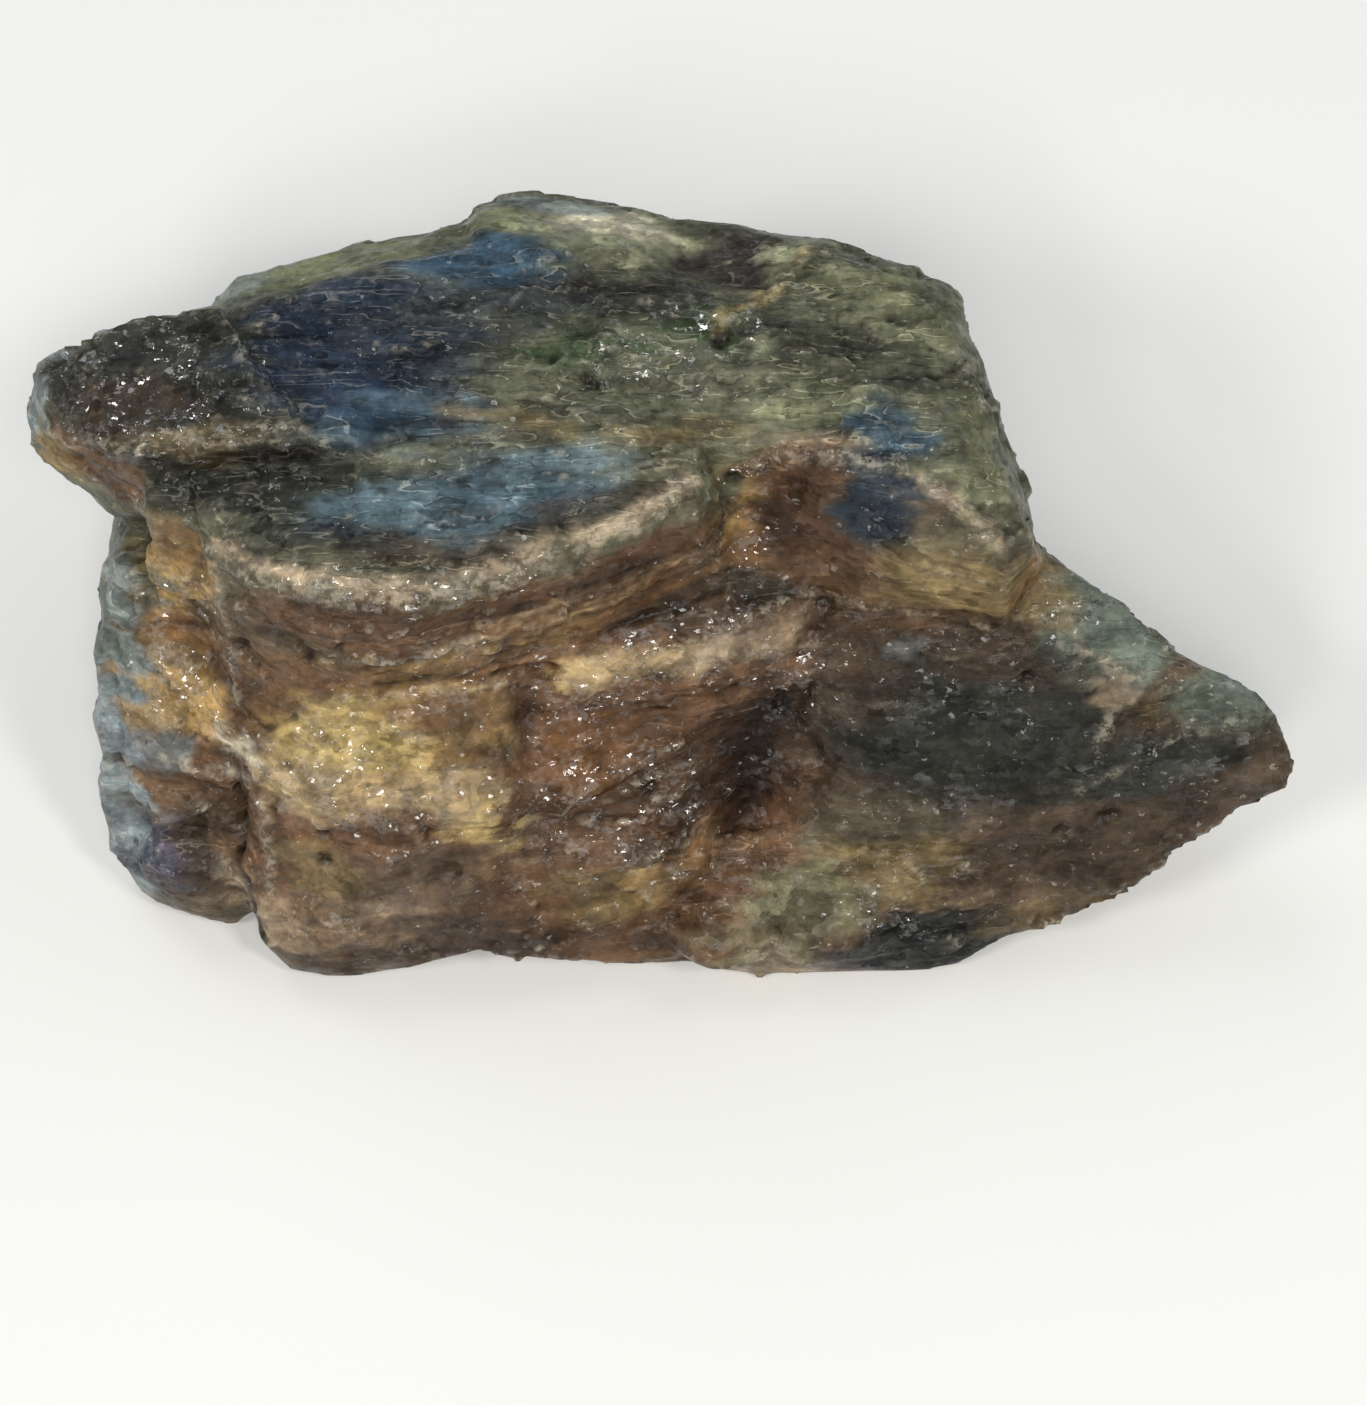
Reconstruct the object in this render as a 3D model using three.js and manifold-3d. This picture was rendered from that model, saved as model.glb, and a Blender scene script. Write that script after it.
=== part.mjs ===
// A rough sapphire: one broken piece of corundum, about 38 x 22 x 15 mm, with flat parting planes,
// stepped ledges, a wedge-shaped tip and an undercut left side.
//
// Frame: millimetres, +Z up, +X along the stone towards its wedge tip, +Y towards its back. The
// origin is at the middle of its underside, on the surface that it rests on.
//
// The stone is one solid. It is joined from masses, each of them the flat-faced block between its
// corners. Flat breaks, grooves and pits are then cut out of it, and its faces are broken into
// small uneven facets.

import * as THREE from "three";
import { ConvexGeometry } from "three/addons/geometries/ConvexGeometry.js";
import { ImprovedNoise } from "three/addons/math/ImprovedNoise.js";
import { mergeVertices } from "three/addons/utils/BufferGeometryUtils.js";
import Module from "manifold-3d";

const wasm = await Module();
wasm.setup();

// Driving dimensions, in millimetres. A height is measured from the surface under the stone.
const TOP = 14.9; // the parting plane that makes the top of the stone
const SHELF = 14.4; // the lower shelf along the front of the top
const SLAB_FOOT = 10.0; // where the front wall of the top slab ends
const TONGUE_TOP = 10.3; // the short ledge half way down the front
const BACK_RIM = 13.0; // the rounded back edge of the top
const FLAT = 0; // the cleavage face that the stone rests on
const LONGEST_EDGE = 2.1; // flat faces are split into facets no longer than this
const SHORTEST_EDGE = 0.4; // and shorter edges are drawn together
const FLATNESS = 0.08; // two facets this close to one plane may trade their shared edge
const SWELL = 0.34; // how far the swells and hollows of the broken surface stand off its planes
const SWELL_LENGTH = 2.6; // and how long they are
const SWELL_HEIGHT = 1.9; // and how tall: they are flattened, like the sheets of the stone
const SWELL_FADE = 1.2; // they fade away this close to the cleavage face
const SAME_POINT = 1e-4; // corners this close are one corner

// Counts of passes, which leave no edge too long or too short.
const ROUNDS = 3;
const SPLIT_PASSES = 12;
const DRAW_PASSES = 12;
const TURN_PASSES = 8;

const point = ([x, y, z]) => new THREE.Vector3(x, y, z);

// Turns a closed three.js geometry into a solid that can be joined and cut.
function solid(geometry) {
  geometry.deleteAttribute("normal");
  geometry.deleteAttribute("uv");
  const merged = mergeVertices(geometry, SAME_POINT);
  return new wasm.Manifold(
    new wasm.Mesh({
      numProp: 3,
      vertProperties: new Float32Array(merged.attributes.position.array),
      triVerts: new Uint32Array(merged.index.array),
    }),
  );
}

// The flat-faced block between these corners.
const block = (...corners) => solid(new ConvexGeometry(corners.flat().map(point)));

// A bar along a path of points. Each stretch has four corners at both ends: half the width up
// and down, and so far out and in along the way out. Added, it is a ridge; cut, it is a groove.
function bar({ path, width, out, reach, sink }) {
  const aside = point(out).normalize();
  const across = (at, next) => point(next).sub(point(at)).cross(aside).setLength(width / 2);
  const corners = (at, edge) => [
    point(at).add(edge),
    point(at).sub(edge),
    point(at).addScaledVector(aside, reach),
    point(at).addScaledVector(aside, -sink),
  ];
  const stretches = path.slice(1).map((next, i) => {
    const edge = across(path[i], next);
    return solid(new ConvexGeometry([...corners(path[i], edge), ...corners(next, edge)]));
  });
  return stretches.reduce((whole, stretch) => whole.add(stretch));
}

// A ball with three radii, turned about the upright. Added, it is a lump; cut, it is a scoop.
function ball({ at, radii, turn = 0, detail = 1 }) {
  const geometry = new THREE.IcosahedronGeometry(1, detail);
  geometry.scale(...radii);
  geometry.rotateZ(THREE.MathUtils.degToRad(turn));
  geometry.translate(...at);
  return solid(geometry);
}

// ---- masses of the stone ----

// The dark block at the top left, which overhangs the recess under it.
function leftBlock() {
  const rim = [[-18.4, 2.9, 14.0], [-16.9, 3.5, 14.5], [-15.2, 3.9, 14.7], [-13.3, 4.2, TOP],
    [-17.6, 0.7, 13.8], [-16.4, 0.0, 14.3], [-14.8, -0.7, 14.7], [-10.4, -0.4, 15.0],
    [-10.9, 0.7, 15.1], [-11.9, 1.7, 15.1], [-12.6, 3.0, 15.0]];
  const nose = [[-18.8, 2.6, 13.1], [-18.8, 1.6, 11.6], [-18.1, 0.9, 10.6], [-17.0, 0.0, 9.8]];
  const under = [[-16.4, 1.0, 9.0], [-18.2, 3.9, 11.8], [-17.0, 5.0, 10.6], [-13.5, 5.6, 10.4],
    [-12.0, 0.0, 9.2], [-15.3, -1.1, 12.6]];
  return block(rim, nose, under);
}

// The middle of the top, from the step along the shelf to where the back starts to fall away.
function topMiddle() {
  const front = [[-14.6, -0.7, 14.6], [-10.2, -0.5, TOP], [-6.2, -0.3, 14.8], [-1.9, -0.4, 14.6],
    [0.8, -0.2, SHELF]];
  const back = [[-12.4, 4.8, 14.5], [-7.3, 6.1, 14.5], [-3.0, 5.8, 14.6], [1.4, 4.6, SHELF],
    [3.2, 4.6, 14.1], [2.6, 2.0, 14.5]];
  const foot = [[-12.5, -0.6, 9.0], [-12.6, 5.0, 9.0], [2.0, -0.6, 9.0], [2.6, 5.6, 9.0]];
  return block(front, back, foot);
}

// The shelf along the front of the top, with its worn rim and its upright front wall.
function frontShelf() {
  const rim = [[-13.0, -2.7, 14.1], [-11.9, -3.6, 14.1], [-9.5, -4.5, 14.3], [-7.4, -4.9, SHELF],
    [-4.5, -4.0, SHELF], [-1.3, -2.8, SHELF], [0.6, -1.9, SHELF], [0.9, -1.0, SHELF]];
  const wall = [[-13.3, -3.0, 13.5], [-12.0, -4.1, 13.5], [-9.6, -5.1, 13.7], [-7.4, -5.5, 13.8],
    [-4.5, -4.6, 13.8], [-1.3, -3.4, 13.8], [0.8, -2.4, 13.8], [1.4, -1.6, 13.6]];
  const foot = [[-13.3, -4.4, 8.8], [-12.6, -5.2, 8.8], [-9.8, -5.9, SLAB_FOOT],
    [-6.3, -5.8, SLAB_FOOT], [-4.3, -5.1, 9.8], [-1.9, -4.4, 9.6], [1.0, -3.2, 9.6],
    [1.9, -2.0, 10.4]];
  const root = [[-13.8, 0.0, 14.2], [-13.8, 0.0, 9.0], [0.6, 0.5, SHELF], [2.0, 0.5, 9.0]];
  return block(rim, wall, foot, root);
}

// The upright corner column between the left block and the shelf's wall.
function cornerColumn() {
  const ridge = [[-15.1, -1.7, 13.5], [-15.1, -2.2, 11.2], [-15.0, -2.7, 9.8], [-14.5, -3.2, 8.8]];
  const edge = [[-13.3, -2.6, 13.4], [-13.3, -3.0, 11.0], [-13.3, -3.7, 8.7]];
  const root = [[-14.8, -0.6, 14.3], [-12.0, -1.0, 14.3], [-12.0, 0.0, 8.0], [-14.8, 0.0, 8.0]];
  return block(ridge, edge, root);
}

// The floor of the gully between the shelf's right end and the right block.
function gullyFloor() {
  const bed = [[0.4, 1.9, SHELF], [3.0, 2.1, SHELF], [0.8, 0.1, 14.3], [2.9, 0.2, SHELF],
    [1.3, -0.6, 13.4], [2.9, -0.9, 13.2], [1.8, -1.4, 12.2], [3.9, -1.7, 12.1], [2.2, -2.4, 11.0],
    [4.3, -2.6, 10.9]];
  const root = [[0.0, 1.0, 9.0], [3.6, 1.0, 9.0], [0.8, -2.0, 9.0], [3.4, -2.4, 9.0]];
  return block(bed, root);
}

// The block at the right of the top: its top dips to the front in a brown broken face.
function rightBlock() {
  const top = [[2.7, -0.2, SHELF], [5.6, -0.5, 14.5], [6.9, -1.1, 14.3], [8.4, -2.2, 14.0],
    [9.8, -3.2, 13.4], [10.6, -2.5, 13.1], [9.8, -0.9, 13.7], [9.1, 1.6, 14.2],
    [8.5, 4.3, 13.9], [6.9, 6.0, 13.9], [4.0, 6.7, 13.9], [2.2, 3.0, SHELF]];
  const rim = [[3.0, -1.0, 12.7], [5.3, -1.4, 12.9], [6.7, -3.0, 12.3], [9.9, -3.5, 12.2],
    [11.0, -2.7, 11.8], [10.3, -0.8, 12.2], [9.5, 2.0, 12.4], [9.0, 4.6, 12.4],
    [8.5, 6.1, BACK_RIM], [5.6, 7.6, BACK_RIM], [3.6, 7.9, BACK_RIM]];
  const foot = [[3.4, -2.0, 9.8], [5.7, -3.1, 10.6], [7.5, -3.4, 10.4], [10.0, -3.8, 10.1],
    [11.3, -2.0, 10.0], [10.7, 0.2, 9.0], [10.0, 2.4, 9.0], [9.2, 6.0, 9.0], [4.0, 8.8, 9.0],
    [2.6, 2.0, 9.0]];
  return block(top, rim, foot);
}

// The back of the stone, from the rounded back edge of the top down to its foot.
function backMass() {
  const top = [[-12.9, 4.4, 14.3], [-7.3, 5.6, 14.5], [-2.0, 5.4, 14.5], [3.0, 5.0, 14.3],
    [-13.2, 3.0, 14.0]];
  const rim = [[-13.4, 5.3, 13.5], [-12.9, 6.4, BACK_RIM], [-11.3, 7.2, BACK_RIM],
    [-8.4, 8.0, BACK_RIM], [-1.0, 8.6, 13.1], [2.0, 8.3, 13.4], [4.8, 7.5, 13.4]];
  const belly = [[-13.8, 7.4, 9.6], [-10.6, 9.2, 8.8], [-6.0, 10.4, 8.2], [-1.0, 11.0, 7.4],
    [4.0, 10.2, 7.4], [8.0, 8.2, 7.6], [9.5, 5.4, 7.6]];
  const foot = [[-12.6, 6.2, 3.2], [-9.0, 8.2, 1.6], [-2.0, 9.2, 1.4], [4.0, 8.2, 1.2],
    [8.0, 5.2, 2.4], [-10.0, 0.0, 1.0], [6.0, 0.0, 1.0]];
  return block(top, rim, belly, foot);
}

// The lump on the back edge of the top.
function backLump() {
  const crown = [[-5.7, 7.2, 14.2], [-4.9, 6.0, 14.7], [-3.1, 5.9, TOP], [-1.3, 6.4, 14.7],
    [-0.3, 7.3, 14.1]];
  const edge = [[-6.2, 8.6, 12.9], [-5.7, 9.1, 12.8], [-4.1, 9.8, 12.6], [-2.5, 9.6, 12.7],
    [-0.8, 8.9, BACK_RIM], [1.0, 8.2, BACK_RIM]];
  const foot = [[-7.0, 9.4, 8.6], [-3.4, 11.1, 8.0], [1.6, 10.0, 8.6], [-6.0, 4.0, 9.0],
    [1.0, 4.0, 9.0]];
  return block(crown, edge, foot);
}

// The left side below the overhang, down to the dark lower left corner.
function lowerLeft() {
  const top = [[-16.2, 0.4, 9.6], [-16.4, -1.8, 9.8], [-15.6, -3.0, 9.0], [-13.0, -3.2, 9.4]];
  const side = [[-16.9, -2.4, 8.6], [-17.1, -4.1, 6.5], [-17.4, -6.1, 3.2], [-17.1, -7.3, 1.2],
    [-16.8, 2.2, 8.0], [-16.4, 3.4, 3.0]];
  const front = [[-15.4, -5.6, 5.4], [-13.9, -6.3, 5.0], [-12.9, -6.5, 4.6]];
  const foot = [[-16.6, -8.1, 0.3], [-15.8, -8.7, 0.2], [-14.3, -9.2, 0.2], [-13.1, -9.5, 0.4],
    [-12.0, -7.0, 0.4], [-11.0, 4.0, 0.8], [-15.4, 2.0, 0.9]];
  return block(top, side, front, foot);
}

// The golden bulge and its curled lip, between the corner column and the lower left corner.
function recessBulge() {
  const top = [[-14.7, -3.5, 8.5], [-13.2, -4.3, 8.5], [-12.4, -5.3, 8.8], [-15.8, -2.9, 9.0]];
  const belly = [[-15.8, -4.4, 6.9], [-14.6, -5.0, 7.2], [-13.3, -5.5, 7.3], [-12.2, -6.0, 7.4]];
  const lip = [[-15.4, -5.7, 5.7], [-14.2, -6.4, 5.4], [-12.8, -6.7, 5.7], [-12.0, -6.9, 6.0]];
  const root = [[-15.0, -1.0, 5.6], [-11.0, -1.0, 5.6], [-11.0, -2.0, 9.0]];
  return block(top, belly, lip, root);
}

// The front left mass, yellow above and grey below, which stands out past the shelf's wall.
function frontLeft() {
  const top = [[-12.4, -5.6, 8.9], [-9.8, -6.1, SLAB_FOOT], [-6.3, -6.0, SLAB_FOOT],
    [-3.7, -5.4, 9.0]];
  const brow = [[-12.4, -6.8, 6.2], [-10.6, -7.5, 6.6], [-8.0, -7.8, 6.5], [-5.0, -7.0, 6.9],
    [-5.3, -8.8, 4.9]];
  const waist = [[-12.7, -8.6, 2.6], [-10.4, -9.6, 4.0], [-8.0, -9.5, 4.6], [-5.2, -9.5, 4.0]];
  const foot = [[-12.5, -10.5, 0.9], [-11.7, -10.9, 0.3], [-10.4, -11.1, 0.2], [-8.7, -11.0, 0.4],
    [-7.8, -11.0, 0.9], [-5.9, -10.8, 2.0]];
  const root = [[-12.0, -2.0, 8.8], [-3.0, -2.0, 9.4], [-12.0, -2.0, 0.6], [-4.0, -2.0, 0.4],
    [-5.0, -9.4, 0.8], [-9.0, -10.0, 0.2]];
  return block(top, brow, waist, foot, root);
}

// The brown middle of the front, with its lower edge arched up off the surface.
function frontMiddle() {
  const top = [[-4.0, -5.2, 8.8], [-1.9, -4.9, 8.9], [0.6, -4.4, 8.6], [1.6, -4.4, 7.0]];
  const brow = [[-4.5, -7.2, 6.2], [-1.8, -6.6, 6.6], [0.6, -5.6, 6.0], [2.3, -5.2, 4.8]];
  const waist = [[-4.6, -8.6, 4.7], [-1.3, -8.2, 4.8], [1.0, -7.4, 4.2], [2.5, -6.6, 3.6],
    [2.4, -7.8, 2.9]];
  const foot = [[-6.2, -10.7, 2.0], [-3.9, -10.7, 1.8], [-1.7, -10.8, 0.8], [0.5, -10.8, 0.3],
    [1.6, -9.4, 1.8]];
  const root = [[-5.0, -2.0, 9.0], [2.0, -2.0, 8.0], [-5.0, -2.0, 0.4], [3.0, -2.0, 0.4],
    [-4.0, -9.4, 0.9], [1.6, -10.0, 0.3]];
  return block(top, brow, waist, foot, root);
}

// The tongue: a short ledge half way down the front, grooved below its rim and undercut.
function tongue() {
  const top = [[-3.0, -4.4, 9.9], [-0.4, -3.6, TONGUE_TOP], [1.3, -2.8, TONGUE_TOP],
    [2.6, -2.2, 10.8], [3.8, -2.4, 10.9], [4.7, -2.7, 10.5]];
  const rim = [[-3.2, -5.0, 9.6], [-1.4, -4.9, 10.1], [0.9, -4.4, 10.2], [3.1, -3.8, TONGUE_TOP],
    [4.3, -3.4, 10.1]];
  const face = [[-3.0, -5.4, 8.6], [-1.2, -5.4, 8.8], [0.7, -5.0, 8.7], [3.4, -4.5, 8.6],
    [4.6, -3.9, 8.6]];
  const overhang = [[-2.8, -5.9, 6.9], [-1.2, -6.0, 6.2], [1.0, -5.9, 5.4], [2.9, -5.0, 5.9],
    [4.2, -4.3, 6.6]];
  const root = [[-2.8, -1.0, 9.8], [4.6, -1.0, 10.4], [-2.0, -2.0, 6.4], [4.4, -2.0, 6.8],
    [1.0, -3.6, 5.6]];
  return block(top, rim, face, overhang, root);
}

// The large dark face at the front right.
function frontRight() {
  const top = [[4.2, -2.9, 10.3], [5.7, -3.1, 10.5], [7.5, -3.5, 10.3], [10.0, -3.9, 9.9],
    [11.0, -4.2, 9.5], [12.8, -4.9, 8.8]];
  const left = [[3.6, -3.4, 8.4], [1.8, -4.4, 5.8], [1.8, -5.4, 3.4], [1.6, -8.2, 2.2]];
  const brow = [[5.0, -7.6, 5.2], [8.0, -8.0, 5.2], [11.0, -7.6, 5.2], [13.0, -6.0, 6.6]];
  const foot = [[0.6, -10.8, 0.5], [2.6, -11.1, 0.2], [5.0, -11.1, 0.2], [7.2, -11.0, 0.2],
    [9.1, -10.7, 0.3], [10.3, -10.3, 0.7], [10.6, -9.0, 2.6]];
  const root = [[4.0, -1.0, 10.2], [11.0, -1.0, 9.8], [3.0, -2.0, 0.4], [10.0, -3.0, 1.2],
    [4.0, -9.6, 0.2], [8.4, -9.4, 0.2]];
  return block(top, left, brow, foot, root);
}

// The wedge that runs out to the right, from its teal top face to the tip.
function wedge() {
  const top = [[9.6, -2.6, 10.3], [11.7, -2.0, 10.2], [12.8, -2.5, 9.9], [14.2, -3.4, 9.3],
    [15.6, -4.1, 8.4], [14.8, -4.8, 8.4], [12.6, -4.9, 8.8], [10.6, -4.2, 9.6]];
  const bevel = [[12.8, -6.0, 6.9], [10.6, -8.6, 3.6], [15.0, -6.6, 6.2], [15.4, -7.6, 4.4]];
  const foot = [[10.0, -10.2, 0.6], [12.4, -9.7, 1.5], [14.1, -9.1, 2.5], [15.2, -8.3, 3.2]];
  const root = [[8.0, -3.0, 1.2], [8.0, 3.0, 1.4], [8.0, 2.0, 9.4], [11.5, -1.5, 9.0],
    [12.0, 0.6, 4.4], [13.3, -0.4, 4.2], [14.9, -1.8, 4.8], [15.3, -3.4, 7.4], [12.0, -6.0, 1.6]];
  return block(top, bevel, foot, root);
}

// The rounded end block of the wedge.
function tip() {
  const top = [[15.5, -4.2, 8.2], [17.2, -4.5, 7.8], [17.9, -4.9, 7.4], [18.3, -5.3, 6.9],
    [17.9, -5.9, 6.8], [14.9, -6.4, 6.7]];
  const nose = [[18.8, -6.2, 5.9], [18.7, -6.7, 5.4], [18.1, -7.1, 4.6], [17.4, -7.3, 4.3],
    [16.4, -7.8, 3.8], [15.0, -8.3, 3.2]];
  const under = [[18.2, -4.6, 5.6], [16.6, -3.6, 6.2], [16.6, -3.8, 4.8], [13.8, -2.6, 7.2],
    [13.6, -3.0, 3.6]];
  return block(top, nose, under);
}

// The underside: an uneven belly with one flat cleavage face that the stone rests on.
function underside() {
  const flat = [[-8.2, -6.0, FLAT], [-2.6, -7.6, FLAT], [4.6, -6.4, FLAT], [6.4, -2.4, FLAT],
    [4.2, 3.8, FLAT], [-3.2, 4.8, FLAT], [-8.6, 1.6, FLAT]];
  const root = [[-11.4, -8.0, 1.0], [-2.0, -9.6, 1.0], [7.0, -9.0, 1.0], [9.6, -3.0, 1.6],
    [7.0, 6.4, 1.7], [-3.0, 8.0, 1.6], [-12.4, 4.0, 1.5]];
  return block(flat, root);
}

// The thin raised sheet on top of the right block, left where the rest split away.
function rightSheet() {
  const top = [[5.1, 1.0, 14.6], [5.9, 1.7, 14.7], [7.4, 2.2, 14.6], [9.0, 2.5, 14.3],
    [9.7, -0.6, 13.9], [8.4, -2.0, 14.2], [6.9, -0.9, 14.5], [5.6, -0.4, 14.6]];
  const under = [[5.0, 1.1, 13.8], [7.4, 2.4, 13.8], [9.2, 2.6, 13.4], [9.9, -0.7, 13.2],
    [8.5, -2.2, 13.4], [5.6, -0.5, 13.8]];
  return block(top, under);
}

// The sheet that stands out half way down the back.
function backLedge() {
  const top = [[-7.6, 8.8, 8.4], [-3.4, 10.8, 8.9], [1.8, 11.1, 8.3], [5.6, 9.4, 7.6]];
  const under = [[-8.2, 7.8, 4.4], [-4.4, 9.9, 3.4], [0.8, 10.5, 2.9], [5.0, 8.9, 3.6]];
  const root = [[-6.0, 4.0, 8.0], [5.0, 4.0, 8.0], [-6.0, 4.0, 3.0], [5.0, 4.0, 3.0]];
  return block(top, under, root);
}

// The foot of the back at the left, split from the rest by a crack.
function backFoot() {
  const top = [[-14.2, 3.4, 6.2], [-11.6, 6.6, 5.8], [-8.8, 7.6, 4.8]];
  const foot = [[-14.8, 1.8, 1.2], [-13.2, 5.2, 0.9], [-9.6, 7.6, 1.0], [-6.4, 7.8, 0.9]];
  const root = [[-10.0, 0.0, 6.0], [-6.0, 2.0, 5.0], [-10.0, 0.0, 0.6], [-6.0, 3.0, 0.5]];
  return block(top, foot, root);
}

// Flat breaks: each is the piece that split away, taken off from outside.
const breaks = [
  // a long flat face down the back at the left
  block([[-16.0, 4.9, 13.0], [-8.6, 10.4, 12.4], [-16.4, 4.4, 5.4], [-9.4, 9.6, 4.8],
    [-17.0, 12.0, 13.0], [-17.0, 12.0, 5.0]]),
  // a steeper one at the right, above the wedge
  block([[10.6, 2.4, 12.6], [6.6, 9.4, 12.8], [11.6, 1.0, 5.6], [6.0, 8.4, 2.2], [14.0, 12.0, 13.0],
    [14.0, 12.0, 2.0], [13.0, 2.4, 9.0]]),
  // the step where the top sheets end at the back
  block([[-1.6, 8.9, 10.7], [3.6, 8.3, 10.9], [5.8, 7.4, 11.0], [-1.8, 9.2, 12.2], [4.6, 8.3, 12.6],
    [-2.0, 13.0, 10.5], [6.0, 13.0, 10.9], [6.0, 13.0, 12.8], [-2.0, 13.0, 12.8]]),
  // the hollow under the tongue's right half, with a steep left flank and a gentle right one
  block([[3.1, -4.7, 6.9], [2.8, -5.4, 5.6], [2.5, -6.3, 4.3], [1.9, -7.3, 3.4], [4.9, -4.5, 8.5],
    [5.5, -5.6, 7.4], [5.3, -6.7, 6.2], [4.4, -7.9, 4.7], [1.0, -6.4, 5.9], [0.9, -7.0, 5.0],
    [0.9, -8.0, 4.1], [3.6, -6.4, 8.4], [3.2, -8.2, 6.6]]),
  // the shallow trough between the back lump and the right block
  block([[-0.6, 6.0, 14.2], [1.0, 4.4, 14.35], [3.4, 5.0, 14.2], [2.4, 7.8, 13.7], [0.2, 8.0, 13.3],
    [0.6, 6.2, 13.8], [-1.0, 6.4, 16.0], [3.6, 5.0, 16.0], [2.6, 9.4, 15.0], [0.0, 9.4, 15.0]]),
];

const FORWARD = [0, -1, 0];
const FORWARD_UP = [0, -0.8, 0.6];
const LEFT_FORWARD = [-0.45, -0.8, 0.4];

// Raised lines: the slanting ribs of the brown front and the line under the right block.
const ridges = [
  { path: [[-4.6, -8.5, 4.6], [-3.2, -8.2, 5.0], [-1.0, -7.8, 5.3]], width: 1.0 },
  { path: [[-4.4, -9.5, 3.4], [-2.0, -8.8, 4.2], [0.6, -7.9, 4.7]], width: 1.1 },
  { path: [[-3.4, -7.3, 6.0], [-1.4, -6.8, 6.5], [0.6, -5.9, 6.9]], width: 0.9 },
  { path: [[-2.6, -10.0, 2.4], [-0.6, -9.4, 3.0], [1.2, -8.5, 3.6]], width: 1.0 },
  { path: [[2.8, -9.3, 2.4], [6.0, -9.1, 3.2], [9.0, -8.7, 3.6]], width: 1.2 },
  { path: [[6.4, -4.1, 9.5], [9.9, -4.6, 9.1], [12.6, -5.1, 8.5]], width: 0.9 },
].map((line) => bar({ out: FORWARD_UP, reach: 0.3, sink: 0.7, ...line }));

// The curled lip along the foot of the recess.
const lip = bar({
  path: [[-16.0, -4.4, 6.5], [-15.3, -5.6, 5.6], [-14.0, -6.2, 5.3], [-12.8, -6.6, 5.5]],
  width: 0.8, out: FORWARD_UP, reach: 0.4, sink: 0.7,
});

// One split between the sheets of the front wall, at a lift above the middle one.
const wallSplit = (lift, width) => bar({
  path: [[-12.3, -4.5, 11.3 + lift], [-9.6, -5.5, 11.5 + lift], [-7.4, -5.8, 11.6 + lift],
    [-4.4, -5.0, 11.6 + lift], [-1.3, -3.9, 11.7 + lift], [1.0, -2.9, 11.8 + lift]],
  width, out: FORWARD, reach: 0.6, sink: 0.35,
});

// Cut lines: the splits of the front wall, the rusty notch in the corner column, the cracks
// along the bevel of the wedge, the upright folds of the left side, the dark gap left of the
// brown ribs, and the valley between the ribs and the dark front face.
const grooves = [
  wallSplit(0.5, 0.45),
  wallSplit(-0.8, 0.6),
  ...[
    { path: [[-14.9, -3.4, 9.2], [-13.2, -3.7, 9.2]], width: 0.8, out: FORWARD, sink: 0.8 },
    { path: [[10.8, -8.2, 4.3], [12.8, -7.8, 4.8], [15.0, -7.2, 5.4]], width: 0.6, sink: 0.45 },
    { path: [[10.3, -9.0, 2.9], [12.4, -8.8, 3.4], [15.4, -7.9, 4.1]], width: 0.5, sink: 0.35 },
    { path: [[-16.7, -2.8, 8.6], [-16.6, -5.3, 4.8], [-16.5, -7.2, 2.0]], width: 0.8,
      out: LEFT_FORWARD, sink: 0.35 },
    { path: [[-15.9, -4.9, 5.4], [-15.8, -6.4, 3.8], [-15.6, -8.0, 1.4]], width: 0.7,
      out: LEFT_FORWARD, sink: 0.35 },
    { path: [[-3.7, -5.2, 9.0], [-4.2, -6.6, 7.2]], width: 1.3, sink: 0.3 },
    { path: [[1.9, -8.2, 2.8], [1.0, -9.6, 1.6], [0.6, -11.0, 0.4]], width: 0.8, sink: 0.5 },
    { path: [[4.9, -3.6, 9.0], [4.3, -4.2, 7.9], [3.4, -4.9, 6.7]], width: 1.6, sink: 0.35 },
    { path: [[2.9, -5.5, 5.6], [2.5, -6.3, 4.4], [1.9, -7.4, 3.4]], width: 1.0, sink: 0.25 },
  ].map((line) => bar({ out: FORWARD_UP, reach: 0.6, ...line })),
];

// Low domes that swell out of the faces round them.
const lumps = [
  { at: [13.7, -4.7, 7.7], radii: [1.4, 1.0, 0.9], turn: 20 },
  { at: [-5.9, -7.2, 6.2], radii: [2.2, 1.2, 1.2], turn: 12 },
  { at: [-10.4, -6.9, 6.6], radii: [2.0, 1.2, 1.4], turn: -20 },
  { at: [-6.9, -5.9, 8.5], radii: [2.2, 1.1, 1.1], turn: 15 },
  { at: [-12.7, -5.2, 6.9], radii: [1.2, 1.0, 1.1] },
  { at: [1.9, -8.9, 1.5], radii: [2.1, 2.0, 1.4], turn: 10 },
  { at: [4.9, -8.9, 1.6], radii: [2.6, 2.0, 1.4], turn: -5 },
  { at: [-12.4, -7.8, 2.1], radii: [0.8, 1.3, 1.6] },
  { at: [-14.5, -7.2, 1.9], radii: [1.9, 1.6, 1.6], turn: -20 },
  { at: [-9.2, -9.2, 2.2], radii: [2.4, 1.5, 1.6], turn: 10 },
  { at: [8.2, -7.8, 2.6], radii: [3.4, 1.9, 1.7], turn: 12 },
].map((lump) => ball({ ...lump, detail: 2 }));

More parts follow.
